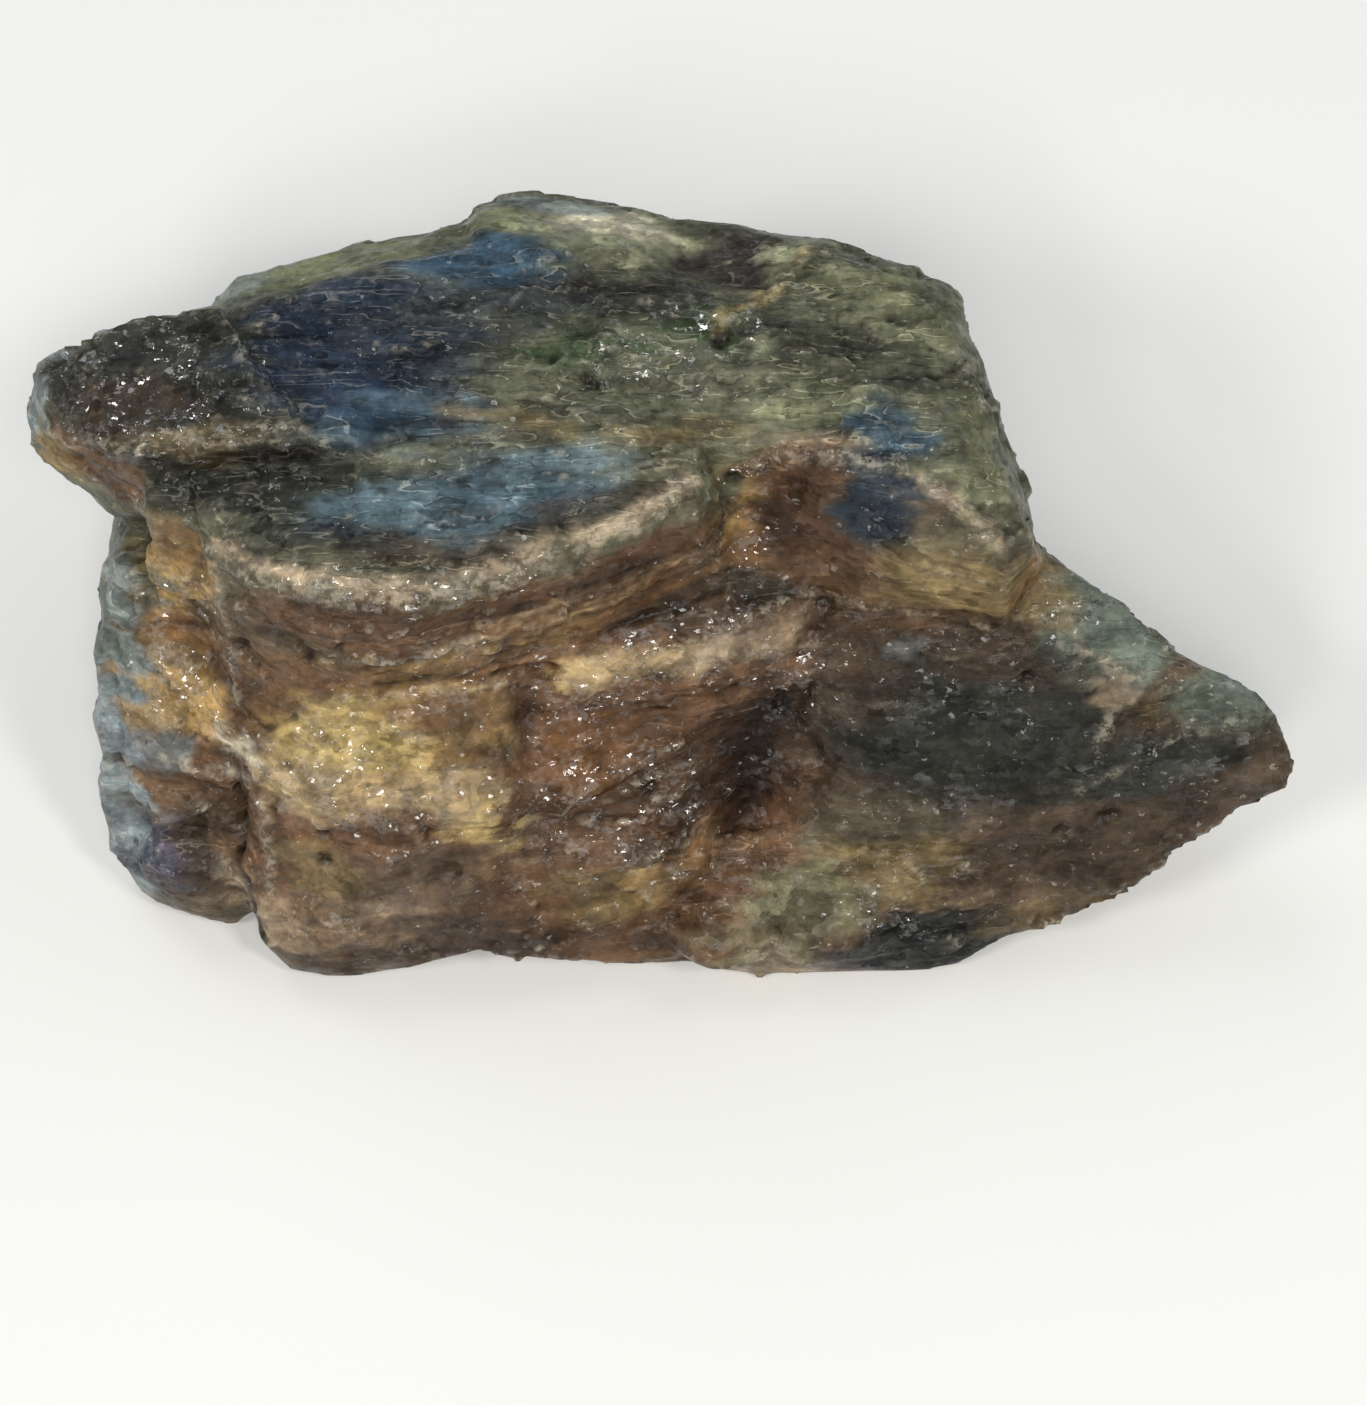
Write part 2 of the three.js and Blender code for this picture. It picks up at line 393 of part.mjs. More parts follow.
// Hollows: the two small pits of the top, the scoop of the brown broken face, dents of the
// front, and hollows under the overhang and on the back.
const scoops = [
  { at: [-3.0, 3.3, 15.9], radii: [2.6, 0.9, 1.6], turn: 8 },
  { at: [-3.3, 6.6, 15.1], radii: [0.7, 0.7, 0.8], turn: 10 },
  { at: [-2.1, 1.7, 14.9], radii: [0.9, 0.5, 0.6], turn: 5 },
  { at: [4.0, -2.6, 15.4], radii: [2.4, 1.8, 2.9], turn: -15 },
  { at: [-13.9, -4.5, 9.0], radii: [0.9, 0.6, 0.6], turn: 10 },
  { at: [-10.7, -9.3, 5.1], radii: [0.5, 0.6, 0.7] },
  { at: [-8.4, 12.9, 9.6], radii: [4.4, 3.0, 2.6], turn: 14 },
  { at: [11.6, 5.0, 4.6], radii: [3.2, 3.8, 3.4] },
  { at: [-17.4, 4.8, 6.4], radii: [2.4, 2.6, 3.0], turn: 20 },
  { at: [3.4, 12.6, 4.6], radii: [3.0, 2.6, 2.0], turn: -10 },
].map((scoop) => ball({ ...scoop, detail: 2 }));

// ---- the whole stone ----

const raised = [leftBlock(), topMiddle(), frontShelf(), cornerColumn(), gullyFloor(), rightBlock(),
  rightSheet(), backMass(), backLump(), backLedge(), backFoot(), lowerLeft(), recessBulge(),
  frontLeft(), frontMiddle(), tongue(), frontRight(), wedge(), tip(), underside(), lip,
  ...ridges, ...lumps];
const cuts = [...breaks, ...grooves, ...scoops];
const joined = raised.reduce((whole, mass) => whole.add(mass));
const stone = cuts.reduce((whole, cut) => whole.subtract(cut), joined);

// ---- broken surface: even facets, then swells and hollows ----

// The neighbours of each corner.
function ringsOf(points, faces) {
  const rings = points.map(() => new Set());
  for (const [a, b, c] of faces) {
    rings[a].add(b).add(c);
    rings[b].add(c).add(a);
    rings[c].add(a).add(b);
  }
  return rings;
}

// Each edge once, as { a, b, faces: [its two faces], tips: [their far corners] }, longest first.
function edgesOf(points, faces) {
  const found = new Map();
  faces.forEach((face, index) => {
    face.forEach((a, i) => {
      const b = face[(i + 1) % 3];
      const key = a < b ? `${a},${b}` : `${b},${a}`;
      if (!found.has(key)) found.set(key, { a, b, faces: [], tips: [] });
      found.get(key).faces.push(index);
      found.get(key).tips.push(face[(i + 2) % 3]);
    });
  });
  const edges = [...found.values()];
  for (const edge of edges) edge.length = points[edge.a].distanceTo(points[edge.b]);
  return edges.sort((one, other) => other.length - one.length);
}

// Draws the two ends of each short edge together. One pass handles edges that don't touch.
function drawTogether(points, faces) {
  const rings = ringsOf(points, faces);
  const moved = new Map();
  const locked = new Set();
  for (const { a, b, length } of edgesOf(points, faces).reverse()) {
    if (length > SHORTEST_EDGE) break;
    const shared = [...rings[a]].filter((corner) => rings[b].has(corner));
    const near = [a, b, ...rings[a], ...rings[b]];
    if (shared.length !== 2 || near.some((corner) => locked.has(corner))) continue;
    near.forEach((corner) => locked.add(corner));
    points[a].lerp(points[b], 0.5);
    moved.set(b, a);
  }
  const kept = faces
    .map((face) => face.map((corner) => moved.get(corner) ?? corner))
    .filter(([a, b, c]) => a !== b && b !== c && c !== a);
  return { faces: kept, changes: moved.size };
}

const angleAt = (tip, a, b) => a.clone().sub(tip).angleTo(b.clone().sub(tip));

// Turns the shared edge of two facets that lie in one plane, where that makes them less slender.
function turnEdges(points, faces) {
  const rings = ringsOf(points, faces);
  const used = new Set();
  let changes = 0;
  for (const { a, b, faces: pair, tips } of edgesOf(points, faces)) {
    const [c, d] = tips;
    if (pair.some((face) => used.has(face)) || rings[c].has(d)) continue;
    const [A, B, C, D] = [a, b, c, d].map((corner) => points[corner]);
    if (angleAt(C, A, B) + angleAt(D, A, B) < Math.PI) continue;
    const normal = B.clone().sub(A).cross(D.clone().sub(C)).normalize();
    if (Math.abs(normal.dot(C.clone().sub(A))) > FLATNESS) continue;
    const forward = faces[pair[0]][(faces[pair[0]].indexOf(a) + 1) % 3] === b;
    faces[pair[0]] = forward ? [c, a, d] : [c, d, a];
    faces[pair[1]] = forward ? [c, d, b] : [c, b, d];
    pair.forEach((face) => used.add(face));
    rings[c].add(d);
    rings[d].add(c);
    changes += 1;
  }
  return { faces, changes };
}

// Splits each long edge at its middle. One pass handles edges that share no facet.
function splitLong(points, faces) {
  const used = new Set();
  const added = [];
  for (const { a, b, faces: pair, length } of edgesOf(points, faces)) {
    if (length < LONGEST_EDGE) break;
    if (pair.some((face) => used.has(face))) continue;
    const middle = points.push(points[a].clone().lerp(points[b], 0.5)) - 1;
    for (const index of pair) {
      added.push(faces[index].map((corner) => (corner === a ? middle : corner)));
      faces[index] = faces[index].map((corner) => (corner === b ? middle : corner));
      used.add(index);
    }
  }
  return { faces: [...faces, ...added], changes: added.length };
}

function repeat(step, points, faces, times) {
  let state = { faces, changes: 1 };
  for (let i = 0; i < times && state.changes > 0; i += 1) state = step(points, state.faces);
  return state.faces;
}

// Swells and hollows: each corner moves by a smooth field, so that no facet can cross another.
// The cleavage face stays flat. The three shifts keep the three directions unalike.
function swell(points) {
  const noise = new ImprovedNoise();
  const shifts = { x: 7.3, y: 31.7, z: 53.1 };
  const field = (p, shift) => noise.noise(
    p.x / SWELL_LENGTH + shift, p.y / SWELL_LENGTH - shift, p.z / SWELL_HEIGHT + 2 * shift);
  for (const p of points) {
    const fade = THREE.MathUtils.clamp((p.z - FLAT) / SWELL_FADE, 0, 1);
    const off = new THREE.Vector3(field(p, shifts.x), field(p, shifts.y), field(p, shifts.z));
    off.z *= SWELL_HEIGHT / SWELL_LENGTH;
    p.addScaledVector(off, SWELL * fade);
  }
}

// The broken surface of the joined solid, as a three.js geometry standing on the origin.
function brokenSurface(shape) {
  const mesh = shape.getMesh();
  const points = [];
  for (let i = 0; i < mesh.vertProperties.length; i += 3) {
    points.push(new THREE.Vector3(...mesh.vertProperties.slice(i, i + 3)));
  }
  let faces = [];
  for (let i = 0; i < mesh.triVerts.length; i += 3) faces.push([...mesh.triVerts.slice(i, i + 3)]);
  for (let round = 0; round < ROUNDS; round += 1) {
    faces = repeat(splitLong, points, faces, SPLIT_PASSES);
    faces = repeat(drawTogether, points, faces, DRAW_PASSES);
    faces = repeat(turnEdges, points, faces, TURN_PASSES);
  }
  swell(points);
  const geometry = new THREE.BufferGeometry().setFromPoints(points);
  geometry.setIndex(faces.flat());
  const used = mergeVertices(geometry.toNonIndexed(), SAME_POINT);
  used.computeBoundingBox();
  const { min, max } = used.boundingBox;
  used.translate(-(min.x + max.x) / 2, -(min.y + max.y) / 2, -min.z);
  used.computeVertexNormals();
  return used;
}

const corundum = new THREE.MeshStandardMaterial({ color: 0x5a5f55, roughness: 0.5, metalness: 0 });
const sapphire = new THREE.Mesh(brokenSurface(stone), corundum);
sapphire.name = "rough_sapphire";

const group = new THREE.Group();
group.add(sapphire);
export default group;
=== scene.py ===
"""Looks of a rough sapphire: its broken relief, its colour zones and its glassy breaks.

Shapes are thought out in millimetres in the stone's own frame: +X towards the wedge tip, +Y towards
the back, +Z up, origin under the middle of the stone. The finished mesh, the floor, the lamps and
the camera are in metres.
"""

from itertools import product
from math import cos, radians, sin

import bmesh
import bpy
import numpy as np
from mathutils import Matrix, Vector


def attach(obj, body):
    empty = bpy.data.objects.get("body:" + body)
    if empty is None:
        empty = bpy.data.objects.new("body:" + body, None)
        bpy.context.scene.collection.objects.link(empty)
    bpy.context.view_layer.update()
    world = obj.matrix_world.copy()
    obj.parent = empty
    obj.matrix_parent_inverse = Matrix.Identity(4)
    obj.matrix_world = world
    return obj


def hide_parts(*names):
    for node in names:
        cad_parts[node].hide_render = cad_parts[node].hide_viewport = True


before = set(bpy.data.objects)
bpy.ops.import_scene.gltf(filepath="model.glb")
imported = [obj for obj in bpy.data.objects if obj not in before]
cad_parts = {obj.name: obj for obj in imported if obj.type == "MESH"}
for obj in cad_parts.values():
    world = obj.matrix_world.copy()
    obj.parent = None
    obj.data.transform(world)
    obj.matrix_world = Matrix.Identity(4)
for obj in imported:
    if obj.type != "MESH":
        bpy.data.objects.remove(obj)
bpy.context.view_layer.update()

MM = 0.001
SMALL_FACE = 0.190     # edge of the fine mesh's faces
EDGE_PASSES = 1        # passes that take the knife edge off every break
MOUTH_PASSES = 120     # passes that round the mouths of deep openings
HOLLOW_PASSES = 25     # passes that wear the walls of hollows
FOOT_PASSES = 40       # passes that even out the outline of the foot
RESTING = (0.1, 1.2)   # heights over which the relief begins, above the face the stone rests on
FOOT = (0.9, 1.8)      # heights over which the even foot ends

# How far each kind of mark stands out.
SWELL_HEIGHT = 0.08
CHIP_HEIGHT = 0.13
EXTRA_ON_WALLS = 0.06    # chips stand out this much more on upright faces
SMALL_CHIP_HEIGHT = 0.03
TERRACE_HEIGHT = 0.10
SHEET_HEIGHT = 0.07
STREAK_HEIGHT = 0.02
FIBRE_HEIGHT = 0.08
CRUMB_HEIGHT = 0.06

# The sheets that upright faces split along: thickness, height and seed.
WALL_SHEETS = [(1.05, 0.12, 51), (0.42, 0.06, 52)]

# The top's sheets run along the stone, with their right ends a little nearer the front.
LEAN = np.array([[1, 0.08, 0], [-0.08, 1, 0], [0, 0, 1]])


# ---- numbers that look random but are the same on every run ----

def scatter(cells, seed):
    """A number from 0 to 1 for each whole-number cell."""
    x, y, z = (cells[:, axis].astype(np.int64).astype(np.uint32) for axis in range(3))
    mixed = (x * np.uint32(73856093)) ^ (y * np.uint32(19349663)) ^ (z * np.uint32(83492791))
    mixed ^= np.uint32(seed * 2654435761 % 2**32)
    mixed = (mixed ^ (mixed >> np.uint32(15))) * np.uint32(2246822519)
    mixed = (mixed ^ (mixed >> np.uint32(13))) * np.uint32(3266489917)
    return ((mixed ^ (mixed >> np.uint32(16))) & np.uint32(0xFFFFFF)) / 0xFFFFFF


def scatter_vector(cells, seed):
    """A vector with each part from -1 to 1 for each whole-number cell."""
    return 2 * np.stack([scatter(cells, seed * 3 + axis) for axis in range(3)], axis=1) - 1


def swell(points, seed):
    """Smooth noise from about -1 to 1, with swells about one unit wide."""
    base = np.floor(points)
    part = points - base
    fade = part ** 3 * (part * (part * 6 - 15) + 10)
    total = np.zeros(len(points))
    for corner in product((0, 1), repeat=3):
        slope = scatter_vector(base + corner, seed)
        share = np.prod(np.where(corner, fade, 1 - fade), axis=1)
        total += share * (slope * (part - corner)).sum(axis=1)
    return 1.5 * total


def layered_swell(points, seed, layers=3):
    """Swells with finer and fainter swells on them."""
    return sum(swell(points * 2 ** i, seed + i) / 2 ** i for i in range(layers))


def wavering(points, length, reach, seed):
    """The points pushed about, so that what is drawn at them comes out crooked."""
    shift = np.stack([swell(points / length, seed + axis) for axis in range(3)], axis=1)
    return points + reach * shift


def stretched(points, way, times):
    """Points drawn together along one direction, so that noise read there comes out as long streaks."""
    way = np.array(way) / np.linalg.norm(way)
    return points - (1 - 1 / times) * (points @ way)[:, None] * way


def chips(points, seed):
    """Heights of flat tilted chips about one unit wide, with sharp steps between them."""
    base = np.floor(points)
    nearest = np.full(len(points), np.inf)
    height = np.zeros(len(points))
    for step in product((-1, 0, 1), repeat=3):
        cell = base + step
        offset = points - cell - 0.5 - 0.4 * scatter_vector(cell, seed)
        distance = (offset ** 2).sum(axis=1)
        tilt = scatter_vector(cell, seed + 1)
        closer = distance < nearest
        height = np.where(closer, (offset * tilt).sum(axis=1) + 0.4 * tilt[:, 0], height)
        nearest = np.where(closer, distance, nearest)
    return height


# ---- the fine mesh ----

def fine_stone():
    """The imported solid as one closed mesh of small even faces, measured in millimetres."""
    shape = bmesh.new()
    shape.from_mesh(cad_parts["rough_sapphire"].data)
    bmesh.ops.remove_doubles(shape, verts=shape.verts, dist=0.001 * MM)
    bmesh.ops.scale(shape, vec=(1 / MM,) * 3, verts=shape.verts)
    coarse = bpy.data.meshes.new("coarse")
    shape.to_mesh(coarse)
    shape.free()
    holder = bpy.data.objects.new("coarse", coarse)
    bpy.context.collection.objects.link(holder)
    even = holder.modifiers.new("even faces", "REMESH")
    even.mode = "VOXEL"
    even.voxel_size = SMALL_FACE
    worn = holder.modifiers.new("worn edges", "SMOOTH")
    worn.factor = 0.5
    worn.iterations = EDGE_PASSES
    finished = holder.evaluated_get(bpy.context.evaluated_depsgraph_get())
    mesh = bpy.data.meshes.new_from_object(finished)
    bpy.data.objects.remove(holder)
    bpy.data.meshes.remove(coarse)
    return mesh


class Surface:
    """The points of the fine mesh, with what the relief and the colours need to know about them."""

    def __init__(self, mesh):
        self.points = np.empty(3 * len(mesh.vertices))
        mesh.vertices.foreach_get("co", self.points)
        self.points = self.points.reshape(-1, 3)
        self.edges = np.empty(2 * len(mesh.edges), dtype=np.int64)
        mesh.edges.foreach_get("vertices", self.edges)
        self.edges = self.edges.reshape(-1, 2)
        self.neighbours = np.bincount(self.edges.ravel(), minlength=len(self.points))
        mesh.calc_loop_triangles()
        self.triangles = np.empty(3 * len(mesh.loop_triangles), dtype=np.int64)
        mesh.loop_triangles.foreach_get("vertices", self.triangles)
        self.triangles = self.triangles.reshape(-1, 3)

    def spread(self, values, passes):
        """The values averaged with their neighbours, so many times over."""
        one, other = self.edges.T
        for _ in range(passes):
            columns = []
            for column in values.reshape(len(self.points), -1).T:
                summed = np.bincount(one, column[other], len(self.points))
                summed += np.bincount(other, column[one], len(self.points))
                columns.append(0.5 * column + 0.5 * summed / self.neighbours)
            values = np.stack(columns, axis=1).reshape(values.shape)
        return values

    def normals(self, passes=0):
        """The way each point faces, averaged with its neighbours so many times over."""
        a, b, c = (self.points[self.triangles[:, i]] for i in range(3))
        across = np.cross(b - a, c - a)
        total = np.stack([sum(np.bincount(self.triangles[:, i], across[:, axis], len(self.points))
                              for i in range(3)) for axis in range(3)], axis=1)
        total /= np.linalg.norm(total, axis=1)[:, None]
        total = self.spread(total, passes)
        return total / np.linalg.norm(total, axis=1)[:, None]

    def raise_by(self, height, passes=3):
        """Moves each point out along its normal. The face that the stone rests on stays flat."""
        grounded = smooth_step(self.points[:, 2], *RESTING)
        self.points = self.points + self.normals(passes) * (height * grounded)[:, None]

    def even_out(self, share, passes, axes=(1, 1, 1)):
        """Smooths the surface by each point's share, along the axes that are 1."""
        ways = share[:, None] * np.array(axes)
        self.points += ways * (self.spread(self.points, passes) - self.points)

    def standing_out(self, passes):
        """How far each point stands out from its surroundings: above 0 on edges, below in gaps."""
        return ((self.points - self.spread(self.points, passes)) * self.normals()).sum(axis=1)


def smooth_step(values, low, high):
    """0 up to low and 1 from high on, with a soft change between them."""
    part = np.clip((values - low) / (high - low), 0, 1)
    return part * part * (3 - 2 * part)


def patch(points, at, radii, turn, edge=0.5):
    """1 inside an egg-shaped patch, fading to 0 over the outer part of it."""
    offset = points - np.array(at)
    c, s = cos(radians(turn)), sin(radians(turn))
    along = offset[:, 0] * c + offset[:, 1] * s
    across = offset[:, 1] * c - offset[:, 0] * s
    distance = np.sqrt((along / radii[0]) ** 2 + (across / radii[1]) ** 2
                       + (offset[:, 2] / radii[2]) ** 2)
    return 1 - smooth_step(distance, 1 - edge, 1 + edge)


def best_of(points, patches):
    """The strongest of several patches, each given as (centre, radii, turn)."""
    return np.max([patch(points, *each) for each in patches], axis=0)


def near_line(points, path, reach):
    """How near each point is to a path: 1 on it, 0 where it is further away than reach."""
    nearest = np.full(len(points), np.inf)
    for start, end in zip(path, path[1:]):
        start, run = np.array(start), np.array(end) - np.array(start)
        along = (points - start) @ run / max(run @ run, 1e-9)
        foot = start + np.clip(along, 0, 1)[:, None] * run
        nearest = np.minimum(nearest, np.linalg.norm(points - foot, axis=1))
    return 1 - smooth_step(nearest, 0, reach)


def lines_on(points, lines):
    """Total height of a set of drawn lines, and how strongly each point belongs to any of them."""
    height = np.zeros(len(points))
    strength = np.zeros(len(points))
    for path, reach, size in lines:
        share = near_line(points, path, reach)
        height += size * share
        strength = np.maximum(strength, share)
    return height, strength


# ---- where each kind of break is ----

# Smooth breaks: the dark front right face, the wedge and its tip, the face of the right block
# and the back edge of the top. Every break is given by its centre, radii and turn.
SMOOTH_BREAKS = [
    ((9.0, -6.2, 7.2), (5.5, 2.5, 3.0), 0),
    ((13.6, -7.2, 5.2), (4.5, 2.0, 2.2), 15),
    ((17.6, -6.0, 6.4), (2.0, 2.0, 2.0), 0),
    ((6.0, -2.6, 12.0), (3.5, 1.8, 2.0), -20),
    ((8.4, -3.4, 11.2), (3.0, 1.2, 1.2), 0),
    ((-10.5, 6.6, 13.6), (4.5, 1.6, 1.5), 8),
    ((-2.0, 7.9, 13.8), (3.6, 2.0, 1.2), 0),
    ((12.6, -3.4, 9.6), (2.4, 1.2, 1.0), -30),
]

# Crumbly breaks: the left block, the rim of the top, the cream mass, the foot of the front, the
# dark lower left, the middle of the top, the edges of the wedge and the gully.
CRUMBLY_BREAKS = [
    ((-15.0, 1.4, 14.6), (3.6, 2.6, 1.2), 0),
    ((-8.0, -5.0, 13.7), (5.0, 0.8, 0.7), -4),
    ((-2.0, -3.2, 14.0), (3.4, 0.8, 0.7), 20),
    ((-9.0, -8.0, 6.6), (3.6, 2.0, 2.6), 0),
    ((-8.5, -10.0, 2.6), (4.5, 2.0, 2.6), 0),
    ((-2.5, -9.6, 2.6), (3.6, 2.2, 2.2), 0),
    ((5.0, -10.4, 1.6), (5.0, 1.6, 1.6), 0),
    ((-14.3, -8.0, 2.8), (1.8, 2.0, 2.6), 0),
    ((1.4, 3.0, 14.5), (2.6, 1.4, 0.8), 20),
    ((8.6, -2.2, 13.7), (2.2, 1.2, 1.2), 0),
    ((14.2, -5.2, 8.0), (1.6, 1.2, 1.2), 0),
    ((1.9, -1.6, 12.2), (1.0, 1.2, 1.9), 0),
]

# Breaks made of blocky grains, without the marks of the sheets.
GRAINY_BREAKS = [
    ((-8.7, -7.2, 7.6), (4.2, 2.4, 2.2), 0),
    ((-14.4, -4.2, 9.0), (1.6, 3.2, 4.0), 0),
    ((-9.4, -9.8, 3.6), (4.0, 2.0, 2.0), 0),
    ((4.0, -9.8, 2.2), (3.2, 1.6, 1.6), 0),
    ((1.9, -1.6, 12.2), (1.3, 1.4, 2.0), 0),
    ((-15.2, 1.6, 14.8), (3.4, 2.4, 1.0), 0),
    ((0.6, -4.8, 9.5), (3.8, 1.0, 1.0), 10),
    ((-2.0, 7.9, 13.8), (3.0, 1.8, 1.2), 0),
]

# Breaks covered in small bright crystal faces.
SPARKLING_BREAKS = [
    ((1.9, -1.6, 12.4), (1.3, 1.4, 2.2), 0),
    ((0.8, -4.6, 9.5), (3.8, 1.4, 1.2), 10),
    ((-2.4, -5.6, 9.0), (2.0, 1.4, 2.2), 0),
    ((-7.0, -5.6, 11.5), (2.6, 0.7, 0.25), 8),
    ((-6.8, -5.9, 9.9), (3.0, 0.7, 0.3), 4),
    ((-7.0, -4.9, 13.9), (5.6, 0.9, 0.6), 0),
    ((-1.4, -7.6, 5.4), (3.2, 2.2, 2.6), 0),
    ((3.6, -5.0, 8.6), (1.4, 1.4, 2.0), 0),
    ((-15.2, 1.6, 14.7), (3.4, 2.4, 0.9), 0),
    ((-9.0, -7.4, 7.4), (4.0, 2.0, 2.2), 0),
    ((-14.2, -4.0, 9.0), (1.4, 2.6, 3.6), 0),
    ((0.6, 3.2, 14.6), (2.6, 1.2, 0.7), 20),
    ((6.2, -9.8, 2.8), (1.4, 1.0, 0.7), 0),
    ((11.6, -3.4, 9.9), (2.0, 0.8, 0.7), -20),
]

# Fibrous breaks, each after the way that its fibres run.
FIBROUS_BREAKS = [
    ((0.2, 0.3, 1.0), (-17.0, -3.6, 5.0), (1.6, 5.5, 5.6), 0),
    ((0.83, 0.33, 0.44), (14.0, -8.4, 3.4), (6.0, 1.5, 2.0), 20),
    ((0.0, -0.5, 0.87), (0.6, -4.9, 9.4), (3.4, 0.9, 0.8), 10),
    ((1.0, 0.1, 0.1), (-5.6, -2.2, 14.4), (7.0, 2.0, 0.8), 6),
    ((1.0, 0.05, -0.3), (4.2, -9.0, 3.6), (2.6, 1.6, 1.6), 0),
    ((0.8, 0.45, 0.35), (-1.0, -7.4, 5.2), (3.4, 2.4, 2.4), 0),
]

# Hollows whose walls are worn smooth.
WORN_HOLLOWS = [
    ((2.4, -6.1, 5.2), (1.7, 2.0, 2.8), 0),
    ((-0.6, -4.0, 10.4), (3.0, 0.9, 0.8), 12),
    ((-14.2, -3.4, 9.3), (1.5, 1.2, 1.0), 0),
    ((-4.9, -6.6, 7.4), (0.9, 1.2, 1.8), 0),
    ((-1.3, 8.8, 11.1), (1.2, 1.4, 1.0), 0),
]

# Deep openings whose mouths are rounded off.
ROUNDED_MOUTHS = [
    ((9.2, 2.9, 6.9), (3.4, 2.6, 3.2), 0),
    ((-16.5, 1.0, 8.2), (2.4, 2.0, 2.2), 0),
]

# Raised lines, each with its reach and height: rims, the edges of sheets and thin crumbly ribs.
RIDGES = [
    ([(-13.0, -3.3, 13.3), (-11.7, -4.2, 13.6), (-9.0, -5.1, 13.9), (-7.5, -5.3, 14.1),
      (-4.7, -4.5, 14.1), (-1.3, -3.0, 14.2), (0.8, -1.4, 14.2)], 0.55, 0.12),
    ([(-18.2, 1.1, 12.9), (-16.1, -0.2, 14.2), (-14.8, -0.7, 14.7)], 0.4, 0.12),
    ([(-14.9, -0.2, 14.7), (-12.0, -0.1, 14.9), (-10.5, -0.1, 14.9)], 0.3, 0.14),
    ([(-12.5, 2.8, 15.0), (-12.0, 1.6, 15.1), (-10.9, 0.8, 14.8)], 0.3, 0.16),
    ([(-13.2, -2.9, 13.5), (-12.9, -3.8, 12.2), (-12.8, -4.7, 9.9), (-12.6, -5.5, 8.6)], 0.3, 0.12),
    ([(-15.4, -0.9, 12.4), (-15.4, -1.4, 9.7), (-14.9, -2.7, 9.5)], 0.3, 0.14),
    ([(-0.8, -1.1, 14.4), (2.0, -0.3, 14.1), (5.1, -0.6, 14.5)], 0.18, 0.10),
    ([(2.6, -0.4, 13.9), (5.3, -0.7, 14.5), (7.6, -1.4, 14.3), (9.6, -3.1, 13.4)], 0.35, 0.12),
    ([(4.0, 6.2, 13.9), (2.8, 4.8, 14.2), (1.4, 3.6, 14.5)], 0.3, 0.10),
    ([(-8.7, -5.8, 11.5), (-6.1, -5.3, 11.6), (-5.1, -5.2, 11.6)], 0.25, 0.20),
    ([(-9.4, -6.0, 10.0), (-6.3, -5.9, 9.9), (-4.9, -5.5, 9.5)], 0.25, 0.20),
    ([(-7.4, -5.8, 10.8), (-3.4, -5.0, 11.0), (-1.6, -4.2, 11.2)], 0.22, 0.16),
    ([(-8.2, -6.7, 9.2), (-5.8, -6.0, 9.5)], 0.35, 0.20),
    ([(-15.3, -6.0, 5.5), (-14.0, -6.5, 5.8), (-12.1, -7.2, 6.6)], 0.3, 0.18),
    ([(-12.1, -7.6, 6.1), (-11.9, -8.8, 4.3), (-12.1, -9.8, 2.3)], 0.28, 0.16),
    ([(-2.4, -4.8, 9.7), (1.0, -4.4, 10.2), (3.6, -3.2, 10.5)], 0.25, 0.14),
    ([(-2.0, -7.5, 5.9), (0.7, -6.4, 6.0)], 0.3, 0.16),
    ([(-3.2, -8.6, 4.6), (0.4, -7.4, 5.0)], 0.3, 0.16),
    ([(-2.6, -8.0, 5.3), (0.6, -6.9, 5.5)], 0.22, 0.12),
    ([(7.6, -3.2, 12.4), (10.0, -3.6, 11.9)], 0.16, 0.08),
    ([(3.9, -2.9, 10.5), (6.9, -3.4, 10.2), (10.1, -3.7, 10.0)], 0.2, 0.10),
    ([(10.3, -3.7, 9.9), (12.2, -2.8, 9.8)], 0.16, 0.10),
    ([(11.6, -4.0, 9.4), (14.0, -4.9, 8.7), (15.4, -4.8, 7.9)], 0.25, 0.12),
    ([(12.4, -7.1, 5.7), (15.3, -5.9, 7.0), (18.1, -5.2, 7.0)], 0.25, 0.10),
    ([(12.9, -6.3, 7.0), (13.4, -5.2, 8.6)], 0.25, 0.10),
]

